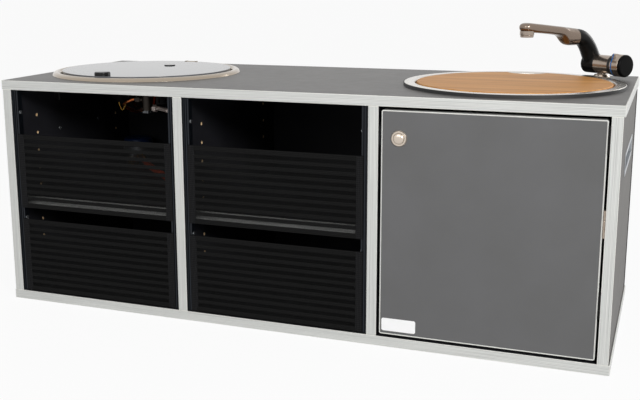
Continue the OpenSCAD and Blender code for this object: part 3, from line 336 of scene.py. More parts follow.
def lacquer(name, colour, roughness, metallic=0.0, peel=900.0, depth=0.00003, shine=0.5):
    """A lacquered or moulded surface with a faint orange peel and a soft change of gloss."""
    material, tree, shader, place = finish(name, colour, roughness, metallic)
    if metallic < 0.5:
        shader.inputs["Specular IOR Level"].default_value = shine
    bumped(tree, shader, noise(tree, place, peel, 2.0), depth, 0.5)
    tree.links.new(between(tree, noise(tree, place, 45.0), roughness - 0.05, roughness + 0.06),
                   shader.inputs["Roughness"])
    return material


rail_finish = anodised_black()
grip_finish = lacquer("silver_lacquered_abs", "#a6aaae", 0.33, 0.5)
zinc_finish = lacquer("zinc_plated_steel", "#c9cdd0", 0.25, 0.9)
nickel_finish = lacquer("satin_nickel", "#cbbfb1", 0.27, 0.92, 1600.0, 0.00001)
# The tap body and the arm take the same satin nickel as the foot, painted darker as shade and
# darker reflection; the arm is darkest.
tap_nickel_painted_shade = lacquer("brushed_nickel_tap_painted_shade", "#a3968a", 0.24, 0.95, 1600.0, 0.00001)
arm_nickel_painted_shade = lacquer("brushed_nickel_arm_painted_shade", "#85766a", 0.22, 0.95, 1600.0, 0.00001)
black_moulded = lacquer("black_moulded_nylon", "#0a0a0a", 0.34, 0.0, 1400.0, 0.00004, 0.14)
knob_black = lacquer("black_matt_nylon", "#090909", 0.4, 0.0, 1400.0, 0.00003, 0.06)
# The gas valve is brass, painted almost black as shade under the hob.
valve_brass_painted_shade = lacquer("brass_valve_painted_shade", "#241d16", 0.4, 0.6, 700.0, 0.00005)
black_gloss = lacquer("black_polished_abs", "#0a0a0b", 0.16, 0.0, 500.0, 0.00001, 0.3)
label_white = lacquer("white_pressed_film", "#fcfcfc", 0.4)
blue_moulded = lacquer("blue_moulded_cap", "#12264c", 0.4, shine=0.2)
die_cast = lacquer("die_cast_zinc", "#85888b", 0.38, 0.85, 700.0, 0.00006)
brass_finish = lacquer("turned_brass", "#a8823c", 0.26, 0.95)
copper_finish = lacquer("drawn_copper", "#b8693f", 0.3, 0.95)
# The inlet pipe is metal, painted pale pinkish grey as painted highlight of strong light on it.
pipe_painted_highlight = lacquer("pipe_pale_painted_highlight", "#ab9f99", 0.4, 0.2)
enamel_black = lacquer("black_vitreous_enamel", "#0d0d0e", 0.3, 0.0, 260.0, 0.00008)
seal_rubber = lacquer("black_sealing_rubber", "#101010", 0.55, 0.0, 1200.0, 0.00004)
raw_board = lacquer("raw_chipboard_in_hole", "#dcc096", 0.8, 0.0, 1500.0, 0.0002)
print(len(bpy.data.materials), "materials so far")

# %% [markdown]
# The bowls are pressed stainless steel with a satin ring and a fine circular brush. Angle round
# the middle of the ring gives the brush its direction: a wave in the radius is the line spacing.

# %% Stainless steel


def satin_ring(name, middle, colour="#c2beb7", high="#d9d6d0", smooth=0.17):
    """Satin stainless with circular brush lines round a point on the worktop."""
    material, tree, shader, place = finish(name, colour, 0.24, 1.0)
    centred = add(tree, "ShaderNodeMapping", Vector=place, Location=(-middle, 0, 0))
    split = add(tree, "ShaderNodeSeparateXYZ", Vector=centred.outputs["Vector"])
    flat = add(tree, "ShaderNodeCombineXYZ", X=split.outputs["X"], Y=split.outputs["Y"])
    radius = add(tree, "ShaderNodeVectorMath", {"operation": "LENGTH"}, _0=flat.outputs["Vector"])
    rings = add(tree, "ShaderNodeCombineXYZ", X=radius.outputs["Value"], Z=split.outputs["Z"])
    lines = noise(tree, stretched(tree, rings.outputs["Vector"], (1600, 1, 900)), 1.0, 3.0)
    tree.links.new(between(tree, lines, smooth, smooth + 0.14), shader.inputs["Roughness"])
    tree.links.new(tones(tree, lines, [(0.3, colour), (0.7, high)]),
                   shader.inputs["Base Color"])
    bumped(tree, shader, lines, 0.00001, 0.5)
    return material


hob_low, hob_high = (Vector(p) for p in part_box("hob_bowl"))
sink_low, sink_high = (Vector(p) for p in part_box("sink_basin"))
HOB_X = (hob_low.x + hob_high.x) / 2
SINK_X = (sink_low.x + sink_high.x) / 2
hob_steel = satin_ring("satin_stainless_hob", HOB_X, "#94897b", "#b8ac9d", 0.09)
sink_steel = satin_ring("satin_stainless_sink", SINK_X)
print("hob at x", round(HOB_X, 4), "sink at x", round(SINK_X, 4))

# %% [markdown]
# The lid is toughened glass, grey and half mirrored: it takes up the pale room, so it reads as
# light grey. The shader stays mostly a glossy coated grey with a little light let through.

# %% Glass lid finish


def grey_glass():
    """Grey half-mirrored glass."""
    material, tree, shader, place = finish("grey_toughened_glass", "#6d6f74", 0.05)
    shader.inputs["Transmission Weight"].default_value = 0.1
    bumped(tree, shader, noise(tree, place, 14.0, 2.0), 0.00002, 0.25)
    return material


glass_finish = grey_glass()
print("glass with", len(glass_finish.node_tree.nodes), "nodes")

# %% [markdown]
# The cutting board is solid oak-toned wood, planed and oiled. Its grain runs along the module:
# long fibres, soft growth bands and small dark pores. The growth bands are a wave across the
# board that a slow noise bends.

# %% Wood of the cutting board


def oiled_wood():
    """Oiled wood with its grain along X."""
    material, tree, shader, place = finish("oiled_hardwood", "#c99a68", 0.5)
    shader.inputs["Specular IOR Level"].default_value = 0.3
    bend = noise(tree, stretched(tree, place, (3.0, 14.0, 14.0)), 1.0, 3.0)
    shift = add(tree, "ShaderNodeMath", {"operation": "MULTIPLY"}, _0=bend, _1=0.05)
    split = add(tree, "ShaderNodeSeparateXYZ", Vector=place)
    across = add(tree, "ShaderNodeMath", {"operation": "ADD"}, _0=split.outputs["Y"],
                 _1=shift.outputs["Value"])
    bent = add(tree, "ShaderNodeCombineXYZ", X=split.outputs["X"], Y=across.outputs["Value"],
               Z=split.outputs["Z"])
    bands = noise(tree, stretched(tree, bent.outputs["Vector"], (1.2, 95, 60)), 1.0, 5.0, 0.6)
    fibres = noise(tree, stretched(tree, place, (14, 900, 500)), 1.0, 3.0, 0.6)
    base = tones(tree, bands, [(0.3, "#c07f3c"), (0.48, "#dd9d52"), (0.7, "#efb467")])
    fine = tones(tree, fibres, [(0.25, "#a87444"), (0.6, "#ffffff")])
    tree.links.new(darkened(tree, base, fine, 0.35), shader.inputs["Base Color"])
    tree.links.new(between(tree, fibres, 0.58, 0.42), shader.inputs["Roughness"])
    bumped(tree, shader, fibres, 0.0001, 0.5)
    return material


wood_finish = oiled_wood()
print("wood with", len(wood_finish.node_tree.nodes), "nodes")

# %% [markdown]
# The hose is extruded rubber in warning orange, matte, with dust in its pores. The net is woven
# elastic: ribs run along each band about 1.2 mm apart, and threads cross them. The tapes at its
# sides are looped and look a little paler. Both are drawn from waves on the object's axes.

# %% Rubber and elastic


def hose_rubber():
    """Matte orange rubber."""
    material, tree, shader, place = finish("orange_hose_rubber", "#c8460f", 0.5)
    dust = noise(tree, place, 70.0, 4.0)
    tree.links.new(tones(tree, dust, [(0.3, "#b33c0b"), (0.7, "#d6511a")]),
                   shader.inputs["Base Color"])
    bumped(tree, shader, noise(tree, place, 1200.0), 0.00004, 0.5)
    return material


def woven_elastic(name, dark, light, rib_mm, roughness=0.75):
    """Black elastic with ribs across Z and threads across X."""
    material, tree, shader, place = finish(name, dark, roughness)
    ribs = add(tree, "ShaderNodeTexWave", {"bands_direction": "Z"}, Vector=place,
               Scale=1000 / rib_mm / FULL_TURN, Distortion=0.4).outputs["Fac"]
    threads = add(tree, "ShaderNodeTexWave", {"bands_direction": "X"}, Vector=place,
                  Scale=1000 / (rib_mm * 0.8) / FULL_TURN, Distortion=0.6).outputs["Fac"]
    weave = add(tree, "ShaderNodeMath", {"operation": "MULTIPLY"}, _0=ribs, _1=threads)
    fuzz = add(tree, "ShaderNodeMath", {"operation": "ADD"}, _0=weave.outputs["Value"],
               _1=between(tree, noise(tree, place, 900.0), -0.2, 0.3))
    tree.links.new(tones(tree, fuzz.outputs["Value"], [(0.1, dark), (0.8, light)]),
                   shader.inputs["Base Color"])
    shader.inputs["Specular IOR Level"].default_value = 0.08
    bumped(tree, shader, fuzz.outputs["Value"], 0.00025, 0.7)
    return material


orange_rubber = hose_rubber()
band_elastic = woven_elastic("woven_elastic_band", "#0b0b0b", "#1c1c1c", 1.3)
tape_elastic = woven_elastic("looped_side_tape", "#101011", "#2a2a2b", 1.6, 0.85)
sheer_thread = woven_elastic("sheer_thread", "#0e0e0e", "#1d1d1d", 0.5, 0.85)
print("rubber and 3 kinds of elastic")

# %% [markdown]
# A piece made here stands for a solid of the construction: it rides on the same body and hides
# the solid. Modifiers shape a piece only while they are live, so one function works them into
# the mesh.


def settled(piece):
    """The piece with its modifiers worked into its mesh."""
    bpy.context.view_layer.update()
    seen = piece.evaluated_get(bpy.context.evaluated_depsgraph_get())
    mesh = bpy.data.meshes.new_from_object(seen)
    piece.modifiers.clear()
    old, piece.data = piece.data, mesh
    if old.users == 0 and isinstance(old, bpy.types.Mesh):
        bpy.data.meshes.remove(old)
    return piece


def belongs(piece, node):
    """The piece stands for a node: it rides on its body and hides the node."""
    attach(piece, frame["nodes"][node]["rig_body"])
    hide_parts(node)
    return piece


# %% [markdown]
# Every solid keeps its place. Its visible twin gets what a machined or moulded edge has: a small
# round that catches the light. One function copies a node's mesh, joins its triangles to whole
# faces, chooses a finish for each face and rounds the edges. A twin without a round keeps its
# triangles: a whole face with a hole in it shades badly, and a ring of them can close its middle.

# %% Rounded twins of the solids


def twin(node, finishes, width, segments=2, pick=None, rim=None, angle=32, smooth=True):
    """A visible twin of a node, with finishes, a round on its edges and a finish by face."""
    mesh = frame["nodes"][node].data.copy()
    mesh.name = node + "_skin"
    mesh.materials.clear()
    for each in finishes if isinstance(finishes, list) else [finishes]:
        mesh.materials.append(each)
    shape = bmesh.new()
    shape.from_mesh(mesh)
    bmesh.ops.remove_doubles(shape, verts=shape.verts, dist=0.00001)
    if width:
        bmesh.ops.dissolve_limit(shape, angle_limit=math.radians(1), verts=shape.verts,
                                 edges=shape.edges)
    shape.normal_update()
    for face in shape.faces:
        face.material_index = pick(face) if pick else 0
    shape.to_mesh(mesh)
    shape.free()
    if smooth:
        mesh.shade_smooth()
        mesh.set_sharp_from_angle(angle=math.radians(angle))
    else:
        mesh.shade_flat()
    piece = placed(node + "_skin", mesh)
    if width:
        bevel = piece.modifiers.new("round", "BEVEL")
        bevel.width = width
        bevel.segments = segments
        bevel.limit_method = "ANGLE"
        bevel.angle_limit = math.radians(angle)
        bevel.harden_normals = True
        if rim is not None:
            bevel.material = rim
        settled(piece)
    return belongs(piece, node)


print("twins are made from", len(frame["nodes"]), "nodes")

# %% [markdown]
# The boards are cut, edged and drilled. Their outer faces are slate and their inner ones black.
# In the pin holes the raw chipboard shows. A face tells by its direction which finish it takes.

# %% Boards
BOARD_ROUND = 0.0004
NO_ROUND = 0.0


def board_faces(slate_side_of):
    """A picker: 0 for slate on the named side and outer edges, 1 black, 2 raw in holes."""
    def pick(face):
        normal = face.normal
        if max(abs(normal.x), abs(normal.y), abs(normal.z)) < 0.995:
            return 2
        end_of_back = slate_side_of[1] and abs(normal.x) > 0.9
        outer = normal.dot(Vector(slate_side_of)) > 0.9 or normal.y > 0.9 or end_of_back
        return 0 if outer else 1
    return pick


BOARDS = [
    ("worktop_panel", (0, 0, 1), slate_top, BOARD_ROUND),
    ("base_panel", (0, 0, -1), slate_top, BOARD_ROUND),
    ("left_side_panel", (-1, 0, 0), slate_side_painted_shade, NO_ROUND),
    ("left_divider", (0, 0, -1), slate_side_painted_shade, NO_ROUND),
    ("right_side_panel", (1, 0, 0), slate_side_painted_shade, NO_ROUND),
    ("right_divider", (0, 0, -1), slate_side_painted_shade, NO_ROUND),
    ("back_panel", (0, 1, 0), slate_side_painted_shade, BOARD_ROUND),
    ("left_shelf", (0, 0, -1), slate_side_painted_shade, BOARD_ROUND),
    ("middle_shelf", (0, 0, -1), slate_side_painted_shade, BOARD_ROUND),
]
for node, side, face_finish, width in BOARDS:
    twin(node, [face_finish, black_board, raw_board], width, 2, board_faces(side),
         smooth=width > 0)
twin("door_panel", slate_door, NO_ROUND, smooth=False)
print(len(BOARDS), "boards and the door panel")

# %% [markdown]
# Each edging strip is rounded a little at its long edges, where the scraper took its overhang
# off. That round catches the light and is also painted paler than the strip, as painted
# highlight, so it reads as a pale border line. Strips that stand upright are streaked along Z,
# and lying ones along X.

# %% Edging strips
EDGING_ROUND = 0.0007
BEHIND_FRONT = -0.185
INSIDE_SIDES = 0.5
MODULE_END = 0.51


def edging_faces(face):
    """0 for lying strips, 1 for upright ones, 2 for the ends of the module, 3 for shelves, painted
    dark as shade.
    """
    outermost = max(abs(v.co.x) for v in face.verts)
    if min(v.co.y for v in face.verts) > BEHIND_FRONT and outermost < INSIDE_SIDES:
        return 3
    if abs(face.normal.x) > 0.9:
        return 2 if outermost > MODULE_END else 1
    spans = [[v.co[i] for v in face.verts] for i in (0, 2)]
    wide, high = (max(s) - min(s) for s in spans)
    return 0 if wide > high else 1


strip_finishes = [edging_lengthwise, edging_upright, edging_end, edging_shelf_painted_shade, edging_round_painted_highlight]
for node in ("worktop_edging", "base_edging", "inner_edging", "door_edging"):
    twin(node, strip_finishes, EDGING_ROUND, 2, edging_faces, rim=4, angle=50)
print("4 sets of edging")

# %% [markdown]
# The tap stands turned on the worktop, so its shapes are easiest to give in a frame of its own:
# along the spout, along the body and up. The same body line places the painted blue line on the
# control ring. Distance along the body picks nickel or paint, so the line needs no extra mesh.

# %% The tap's own frame and its lined ring
TAP_AT = Vector((0.4545, 0.16, 0.394))
TAP_TURN = math.radians(36)
BODY_WAY = Vector((math.cos(TAP_TURN), -math.sin(TAP_TURN), 0))
SPOUT_WAY = Vector((-math.sin(TAP_TURN), -math.cos(TAP_TURN), 0))
BLUE_LINE_AT = 0.0334
BLUE_LINE_WIDE = 0.0024


def lined():
    """Nickel in the tap body's darker tone, which is painted shade, with a blue line of paint round
    the control ring.
    """
    material, tree, shader, place = finish("nickel_painted_shade_with_blue_line", "#a3968a", 0.24, 0.95)
    from_tap = add(tree, "ShaderNodeVectorMath", {"operation": "SUBTRACT"}, _0=place,
                   _1=tuple(TAP_AT))
    along = add(tree, "ShaderNodeVectorMath", {"operation": "DOT_PRODUCT"},
                _0=from_tap.outputs["Vector"], _1=tuple(BODY_WAY))
    off = add(tree, "ShaderNodeMath", {"operation": "SUBTRACT"}, _0=along.outputs["Value"],
              _1=BLUE_LINE_AT)
    away = add(tree, "ShaderNodeMath", {"operation": "ABSOLUTE"}, _0=off.outputs[0])
    line = add(tree, "ShaderNodeMath", {"operation": "LESS_THAN"}, _0=away.outputs[0],
               _1=BLUE_LINE_WIDE / 2)
    paint = add(tree, "ShaderNodeMix", {"data_type": "RGBA"}, _0=line.outputs[0])
    # The nickel here is the tap body's darker tone, painted shade.
    paint.inputs[6].default_value = linear("#a3968a")
    paint.inputs[7].default_value = linear("#2f6ab0")
    tree.links.new(paint.outputs[2], shader.inputs["Base Color"])
    tree.links.new(between(tree, line.outputs[0], 0.95, 0.0), shader.inputs["Metallic"])
    bumped(tree, shader, noise(tree, place, 1600.0, 2.0), 0.00001, 0.5)
    return material


lined_nickel_painted_shade = lined()
print("tap stands at", tuple(round(c, 4) for c in TAP_AT))

# %% [markdown]
# The smaller parts follow with a table: the finish and the round of the edges for each node.
# Pressed and machined parts have rounds of 0.2 to 0.4 mm, moulded ones up to 1.6 mm.

# %% Fittings, hob, sink and tap
FITTINGS = [
    ("shelf_pins", zinc_finish, 0.0003), ("net_rails", rail_finish, 0.0004),
    ("panel_screws", zinc_finish, 0.0002), ("left_grip", grip_finish, 0.0008),
    ("right_grip", grip_finish, 0.0008), ("hob_bowl", hob_steel, 0.0003),
    ("burner_body", die_cast, 0.0005), ("burner_cap", enamel_black, 0.0008),
    ("pan_support", enamel_black, 0.0), ("gas_valve", valve_brass_painted_shade, 0.0003),
    ("valve_spindle", zinc_finish, 0.0003), ("gas_pipe", copper_finish, 0.0),
    ("inlet_pipe", pipe_painted_highlight, 0.0002), ("hob_clamps", black_moulded, 0.0003),
    ("lid_hinge_ears", hob_steel, 0.0003), ("hob_knob", black_moulded, 0.0006),
    ("glass_lid", glass_finish, 0.0006), ("lid_fittings", black_gloss, 0.0008),
    ("lid_arm", hob_steel, 0.0002), ("regulator_body", die_cast, 0.0006),
    ("regulator_cap", blue_moulded, 0.0008), ("regulator_fittings", brass_finish, 0.0003),
    ("sink_gasket", seal_rubber, 0.0), ("sink_basin", sink_steel, 0.0003),
    ("sink_drain", zinc_finish, 0.0004), ("cutting_board", wood_finish, 0.0012),
    ("tap_foot", nickel_finish, 0.0004), ("tap_body", tap_nickel_painted_shade, 0.0004),
    ("tap_seal", seal_rubber, 0.0008), ("tap_end_knob", knob_black, 0.0016),
    ("strike", zinc_finish, 0.0003), ("lock_body", nickel_finish, 0.0012),
    ("lock_bolt", zinc_finish, 0.0004), ("label_plate", label_white, 0.0003),
]
LARGE_ROUND = 0.0007
MIDDLE_HINGE = (0.2, 0.25)


def hinge_faces(face):
    """1 for the middle hinge, which shows nickel; 0 for the upper and lower ones, painted black as
    shade.
    """
    return int(MIDDLE_HINGE[0] < face.calc_center_median().z < MIDDLE_HINGE[1])


for node, kind, width in FITTINGS:
    twin(node, kind, width, 3 if width > LARGE_ROUND else 2)
# The upper and lower hinges are painted black as shade in the door gap; only the middle one shows
# nickel.
for node in ("door_leaves", "frame_leaves"):
    twin(node, [black_moulded, tap_nickel_painted_shade], 0.0004, 2, hinge_faces)
print(len(FITTINGS) + 2, "fittings")

# %% [markdown]
# Round parts are turned on a lathe, and bent or tapered ones are lofted through their sections.
# Both are rings of points that faces join, so one function can close either into a mesh.

# %% Turning and lofting


def angles(steps):
    """Equal steps of angle round a full turn."""
    return [2 * math.pi * k / steps for k in range(steps)]


def closed(name, shape, sharp):
    """A mesh from a closed shape, smooth up to an angle between faces in degrees."""
    bmesh.ops.recalc_face_normals(shape, faces=shape.faces)
    for face in shape.faces:
        face.smooth = True
    mesh = bpy.data.meshes.new(name)
    shape.to_mesh(mesh)
    shape.free()
    mesh.set_sharp_from_angle(angle=math.radians(sharp))
    return mesh


def ringed(name, rings, sharp=35):
    """A closed mesh through rings of points. A ring of one point closes an end."""
    shape = bmesh.new()
    made = [[shape.verts.new(point) for point in ring] for ring in rings]
    steps = max(len(ring) for ring in made)
    for a, b in zip(made, made[1:]):
        for i in range(steps):
            j = (i + 1) % steps
            corners = (a[i % len(a)], a[j % len(a)], b[j % len(b)], b[i % len(b)])
            corners = list(dict.fromkeys(corners))
            if len(corners) > 2:
                shape.faces.new(corners)
    for ring in (made[0], made[-1]):
        if len(ring) > 2:
            shape.faces.new(ring)
    return closed(name, shape, sharp)


def turned(name, profile, at, way, steps=64):
    """A mesh turned about a line from radii and heights in millimetres."""
    way = Vector(way).normalized()
    side = way.orthogonal().normalized()
    other = way.cross(side)
    rings = []
    for radius, height in profile:
        middle = Vector(at) + way * height * MM
        rings.append([middle + (side * math.cos(a) + other * math.sin(a)) * radius * MM
                      for a in (angles(steps) if radius else [0])])
    return ringed(name, rings)


print("a full turn has 64 steps unless a piece asks for others")

# %% [markdown]
# A mesh becomes a piece once it has a finish. Some pieces are put together from several meshes
# with a finish each, such as a net from its bands and tapes. The joined mesh keeps a list of
# the finishes, and each face remembers its own by number.

# %% Finishing and joining


def lone(name, mesh, kind):
    """A mesh as an object with one finish."""
    mesh.materials.clear()
    mesh.materials.append(kind)
    return placed(name, mesh)


def joined(name, parts):
    """One piece from several mesh objects, with their finishes."""
    shape = bmesh.new()
    finishes = []
    for part in parts:
        start = len(shape.faces)
        shape.from_mesh(part.data)
        shape.faces.ensure_lookup_table()
        used = [finishes.index(m) if m in finishes else (finishes.append(m) or len(finishes) - 1)
                for m in part.data.materials]
        for face in shape.faces[start:]:
            face.material_index = used[min(face.material_index, len(used) - 1)]
    mesh = bpy.data.meshes.new(name)
    shape.to_mesh(mesh)
    shape.free()
    for each in finishes:
        mesh.materials.append(each)
    for part in parts:
        bpy.data.objects.remove(part)
    return placed(name, mesh)


# %% [markdown]
# The push button of the lock is a low dome, so it shows the softbox in its upper half and the
# floor in its lower half. It is turned in the place of its solid.

# %% Dome of the lock button
low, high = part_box("lock_button")
button_at = ((low.x + high.x) / 2, low.y, (low.z + high.z) / 2)
dome = [(0, 0), (2.5, 0.05), (4.5, 0.25), (6.2, 0.7), (7.4, 1.3), (8.1, 2.1), (8.4, 3.0),
        (8.4, 15.4), (0, 15.4)]
belongs(lone("lock_button_dome", turned("lock_button_dome", dome, button_at, (0, 1, 0)),
             nickel_finish), "lock_button")
print("button at", tuple(round(c, 4) for c in button_at))

# %% [markdown]
# The spout is described by its sections, in millimetres of the tap's own frame. A row of the
# neck gives its place along the spout, its height and its radius. A row of the arm gives its
# place, its lowest and highest point, its half width and how square the section is.

# %% Sections of the spout
SPOUT_T = -20.8
NECK = [(50, 71, 12.7), (46, 70.8, 13.0), (41, 70.3, 13.2), (36.5, 69.4, 13.3), (32, 67.6, 13.4),
        (28, 65.3, 13.5), (24, 62.2, 13.7), (20.3, 58.4, 14.0), (16.7, 54.2, 14.2),
        (13.4, 49.8, 14.5), (10.6, 45.2, 14.7), (8.2, 41, 14.8), (6, 37.2, 14.9),
        (3.5, 33, 14.8), (1.5, 28, 14), (0, 23.4, 13)]
ARM = [(47.5, 56.3, 84.5, 13.2, 2.0), (50, 56.3, 84.8, 13.2, 2.0), (54, 56.4, 85.3, 13.2, 2.1),
       (62, 56.7, 86.3, 13.2, 2.3), (69, 57.8, 87.1, 13.2, 2.6), (73.5, 60.6, 87.6, 13.2, 2.8),
       (77, 64.4, 88.0, 13.2, 3.0), (80.5, 68.6, 88.4, 13.2, 3.2), (84.5, 72.0, 88.9, 13.1, 3.4),
       (90, 74.2, 89.5, 13.0, 3.6), (98, 75.4, 90.4, 13.0, 3.6), (108, 76.8, 91.5, 13.0, 3.6),
       (120, 78.2, 92.9, 13.0, 3.6), (132, 79.4, 94.3, 13.0, 3.6), (144, 80.5, 95.6, 13.0, 3.5),
       (152, 81.2, 96.5, 13.0, 3.3), (158, 81.7, 97.1, 12.9, 3.0), (163, 82.2, 97.4, 12.4, 2.8),
       (167, 82.9, 97.1, 11.2, 2.6), (170, 84.0, 96.2, 9.4, 2.5), (172.3, 85.6, 94.8, 6.8, 2.4),
       (173.5, 87.3, 93.0, 4.0, 2.3), (174, 89.0, 91.3, 1.5, 2.0)]


def tap_point(s, t, z):
    """A point in the tap's own frame: along the spout, along the body and up, in mm."""
    return TAP_AT + SPOUT_WAY * s * MM + BODY_WAY * t * MM + Vector((0, 0, z * MM))


def neck_rings(line, steps=32):
    """Round rings along the elbow's line, each across the line."""
    rings = []
    for i, (s, z, radius) in enumerate(line):
        before, after = line[max(i - 1, 0)], line[min(i + 1, len(line) - 1)]
        run, rise = after[0] - before[0], after[1] - before[1]
        length = math.hypot(run, rise)
        across = (-rise / length, run / length)
        rings.append([tap_point(s + across[0] * radius * math.sin(a),
                                SPOUT_T + radius * math.cos(a),
                                z + across[1] * radius * math.sin(a))
                      for a in angles(steps)])
    return rings


def superellipse(s, low, high, half, power, steps=44):
    """A ring between a circle and a rectangle across the spout."""
    ring = []
    for a in angles(steps):
        c, d = math.cos(a), math.sin(a)
        across = half * math.copysign(abs(c) ** (2 / power), c)
        up = (high - low) / 2 * math.copysign(abs(d) ** (2 / power), d)
        ring.append(tap_point(s, SPOUT_T + across, (low + high) / 2 + up))
    return ring


print(len(NECK), "sections of the neck and", len(ARM), "of the arm")

# %% [markdown]
# The black elbow is a round tube that swells into the knuckle on the tap's body. Both are closed
# forms, and a voxel remesh melts them together as a moulding is, without a crease. A smooth
# pass takes off the steps of the voxels, and a bore takes the spindle.

# %% Elbow of the spout
BODY_HIGH = 23.4
KNUCKLE_END = 33.8
BORE_RADIUS = 6.3
VOXEL = 0.0009

knuckle_profile = [(0, -KNUCKLE_END), (14.4, -KNUCKLE_END), (15.8, -33.2), (16.4, -31.8),
                   (16.4, -9.4), (15.9, -8.2), (14, -7.9), (0, -7.9)]
neck = joined("spout_elbow_skin", [
    lone("neck", ringed("neck", neck_rings(NECK)), black_moulded),
    lone("knuckle", turned("knuckle", knuckle_profile, tap_point(0, 0, BODY_HIGH), BODY_WAY),
         black_moulded)])
melt = neck.modifiers.new("melt", "REMESH")
melt.mode = "VOXEL"
melt.voxel_size = VOXEL
ease = neck.modifiers.new("ease", "SMOOTH")
ease.factor = 0.5
ease.iterations = 5
settled(neck)
bore_profile = [(0, -30.8), (BORE_RADIUS, -30.8), (BORE_RADIUS, -6), (0, -6)]
bore = lone("bore", turned("bore", bore_profile, tap_point(0, 0, BODY_HIGH), BODY_WAY, 32),
            black_moulded)
cut = neck.modifiers.new("cut", "BOOLEAN")
cut.object = bore
settled(neck)
bpy.data.objects.remove(bore)
neck.data.shade_smooth()
neck.data.set_sharp_from_angle(angle=math.radians(50))
belongs(neck, "spout_elbow")
print("elbow", len(neck.data.polygons), "faces")

# %% [markdown]
# The nickel arm is lofted through sections that change from round at the joint to flat and wide
# at the nose. A smooth line through the rows gives the sections between them. The aerator
# under the nose is turned, with the small grip edge that a real one has.

# %% Arm and aerator
arm_line = smooth_line([Vector(row) for row in ARM], 3)
arm = lone("spout_arm_skin", ringed("spout_arm_skin", [superellipse(*row) for row in arm_line], 60),
           arm_nickel_painted_shade)
belongs(arm, "spout_arm")
aerator_profile = [(0, 76.4), (8.6, 76.4), (8.9, 74.6), (9.4, 74.1), (10.2, 74.1), (10.7, 74.6),
                   (10.8, 77.4), (11.4, 77.8), (11.5, 78.4), (11.5, 84.5), (0, 84.5)]
belongs(lone("aerator_skin", turned("aerator_skin", aerator_profile, tap_point(161.5, SPOUT_T, 0),
                                    (0, 0, 1)), tap_nickel_painted_shade), "aerator")
print("arm", len(arm.data.polygons), "faces")

# %% [markdown]
# The control ring is nickel with one raised thumb lobe that leans to the spout, and a blue line
# marks cold water. A ring whose radius swells at the lobe's angle gives both in one closed form.

# %% Control ring of the tap
LOBE_AT = math.radians(60)
LOBE_SWELL = 4.4
LOBE_WIDE = math.radians(13)
RING_ROWS = [(6.2, 29.8, 0), (17.4, 29.8, 0.6), (18.3, 30.2, 0.9), (18.7, 31.2, 1), (18.7, 34, 1),
             (18.7, 38, 1), (18.7, 40.5, 0.9), (18.7, 42.5, 0.35), (18.7, 44, 0.05),
             (18.7, 45.2, 0), (18.2, 46.1, 0), (17.6, 46.3, 0)]


def lobed(radius, t, swell, steps=96):
    """A ring round the tap's body that swells at the lobe."""
    ring = []
    for a in angles(steps):
        off = (a - LOBE_AT + math.pi) % (2 * math.pi) - math.pi
        r = radius + LOBE_SWELL * swell * math.exp(-(off / LOBE_WIDE) ** 2)
        ring.append(tap_point(r * math.cos(a), t, BODY_HIGH + r * math.sin(a)))
    return ring


ring_rows = [[tap_point(0, 44.3, BODY_HIGH)], lobed(6.2, 44.3, 0)]
ring_rows += [lobed(*row) for row in RING_ROWS] + [[tap_point(0, 46.3, BODY_HIGH)]]
control = lone("tap_control_ring_skin", ringed("tap_control_ring_skin", ring_rows), lined_nickel_painted_shade)
belongs(control, "tap_control_ring")
print("control ring", len(control.data.polygons), "faces")

# %% [markdown]
# The hose takes the place of its solid. It ends at the regulator's ferrule, and the regulator
# lies on the shelf, so the two belong together.

# %% Hose on the shelf
hose.data.materials.append(orange_rubber)
belongs(hose, "gas_hose")
tuple(hose_line[0])
print("hose", HOSE_D, "m thick, with 3 regulator pieces")

# %% [markdown]
# The nets are woven elastic: nine flat bands and two hems between two side tapes, with sheer
# threads across them. All of these are ribbons. A ribbon is a thin closed section with soft
# ribs and thinner edges, drawn along a straight line.

# %% Ribbons of the nets
BAND_HIGH = 0.0062
BAND_PITCH = 0.012
BAND_THICK = 0.0012
HEM_HIGH = 0.0082
TOP_HEM_HIGH = 0.009
HEM_THICK = 0.0016
NET_HIGH = 0.131
BANDS = 9
FIRST_BAND = 0.0140
TAPE = 0.012
TAPE_THICK = 0.002
TUCK = 0.003
THREAD = 0.00055
THREAD_THICK = 0.0002
THREAD_PITCH = 0.0011
THREAD_INSET = 0.004


def ribbon(name, x0, x1, y, z0, z1, thick, ribs, along="x", steps=28):
    """A flat ribbon in the plane of the front, with rounded edges and soft ribs along it."""
    section = []
    count = ribs * 2 + 1
    for side in (-1, 1):
        for i in range(count + 1):
            t = i / count if side < 0 else 1 - i / count
            edge = 0.35 if i in (0, count) else 1.0
            swell = 0.82 + 0.18 * (i % 2)
            section.append((t, side * thick / 2 * edge * swell))
    shape = bmesh.new()
    rings = []
    for k in range(steps + 1):
        s = k / steps
        ring = []
        for t, depth in section:
            if along == "x":
                place = (x0 + (x1 - x0) * s, y + depth, z0 + (z1 - z0) * t)
            else:
                place = (x0 + (x1 - x0) * t, y + depth, z0 + (z1 - z0) * s)
            ring.append(shape.verts.new(place))
        rings.append(ring)
    for a, b in zip(rings, rings[1:]):
        for i in range(len(a)):
            j = (i + 1) % len(a)
            shape.faces.new((a[i], a[j], b[j], b[i]))
    shape.faces.new(list(reversed(rings[0])))
    shape.faces.new(rings[-1])
    return closed(name, shape, 60)


print(BANDS, "bands at a pitch of", BAND_PITCH, "m")

# %% [markdown]
# A net has many equal bands and threads, and the boards have many equal holes. A node tree sets
# one unit at each point, may turn it by chance with a fixed seed, and gives it its finish. The
# copies are realised and the modifier is worked in, so the result is one plain mesh.

# %% Repeating a unit


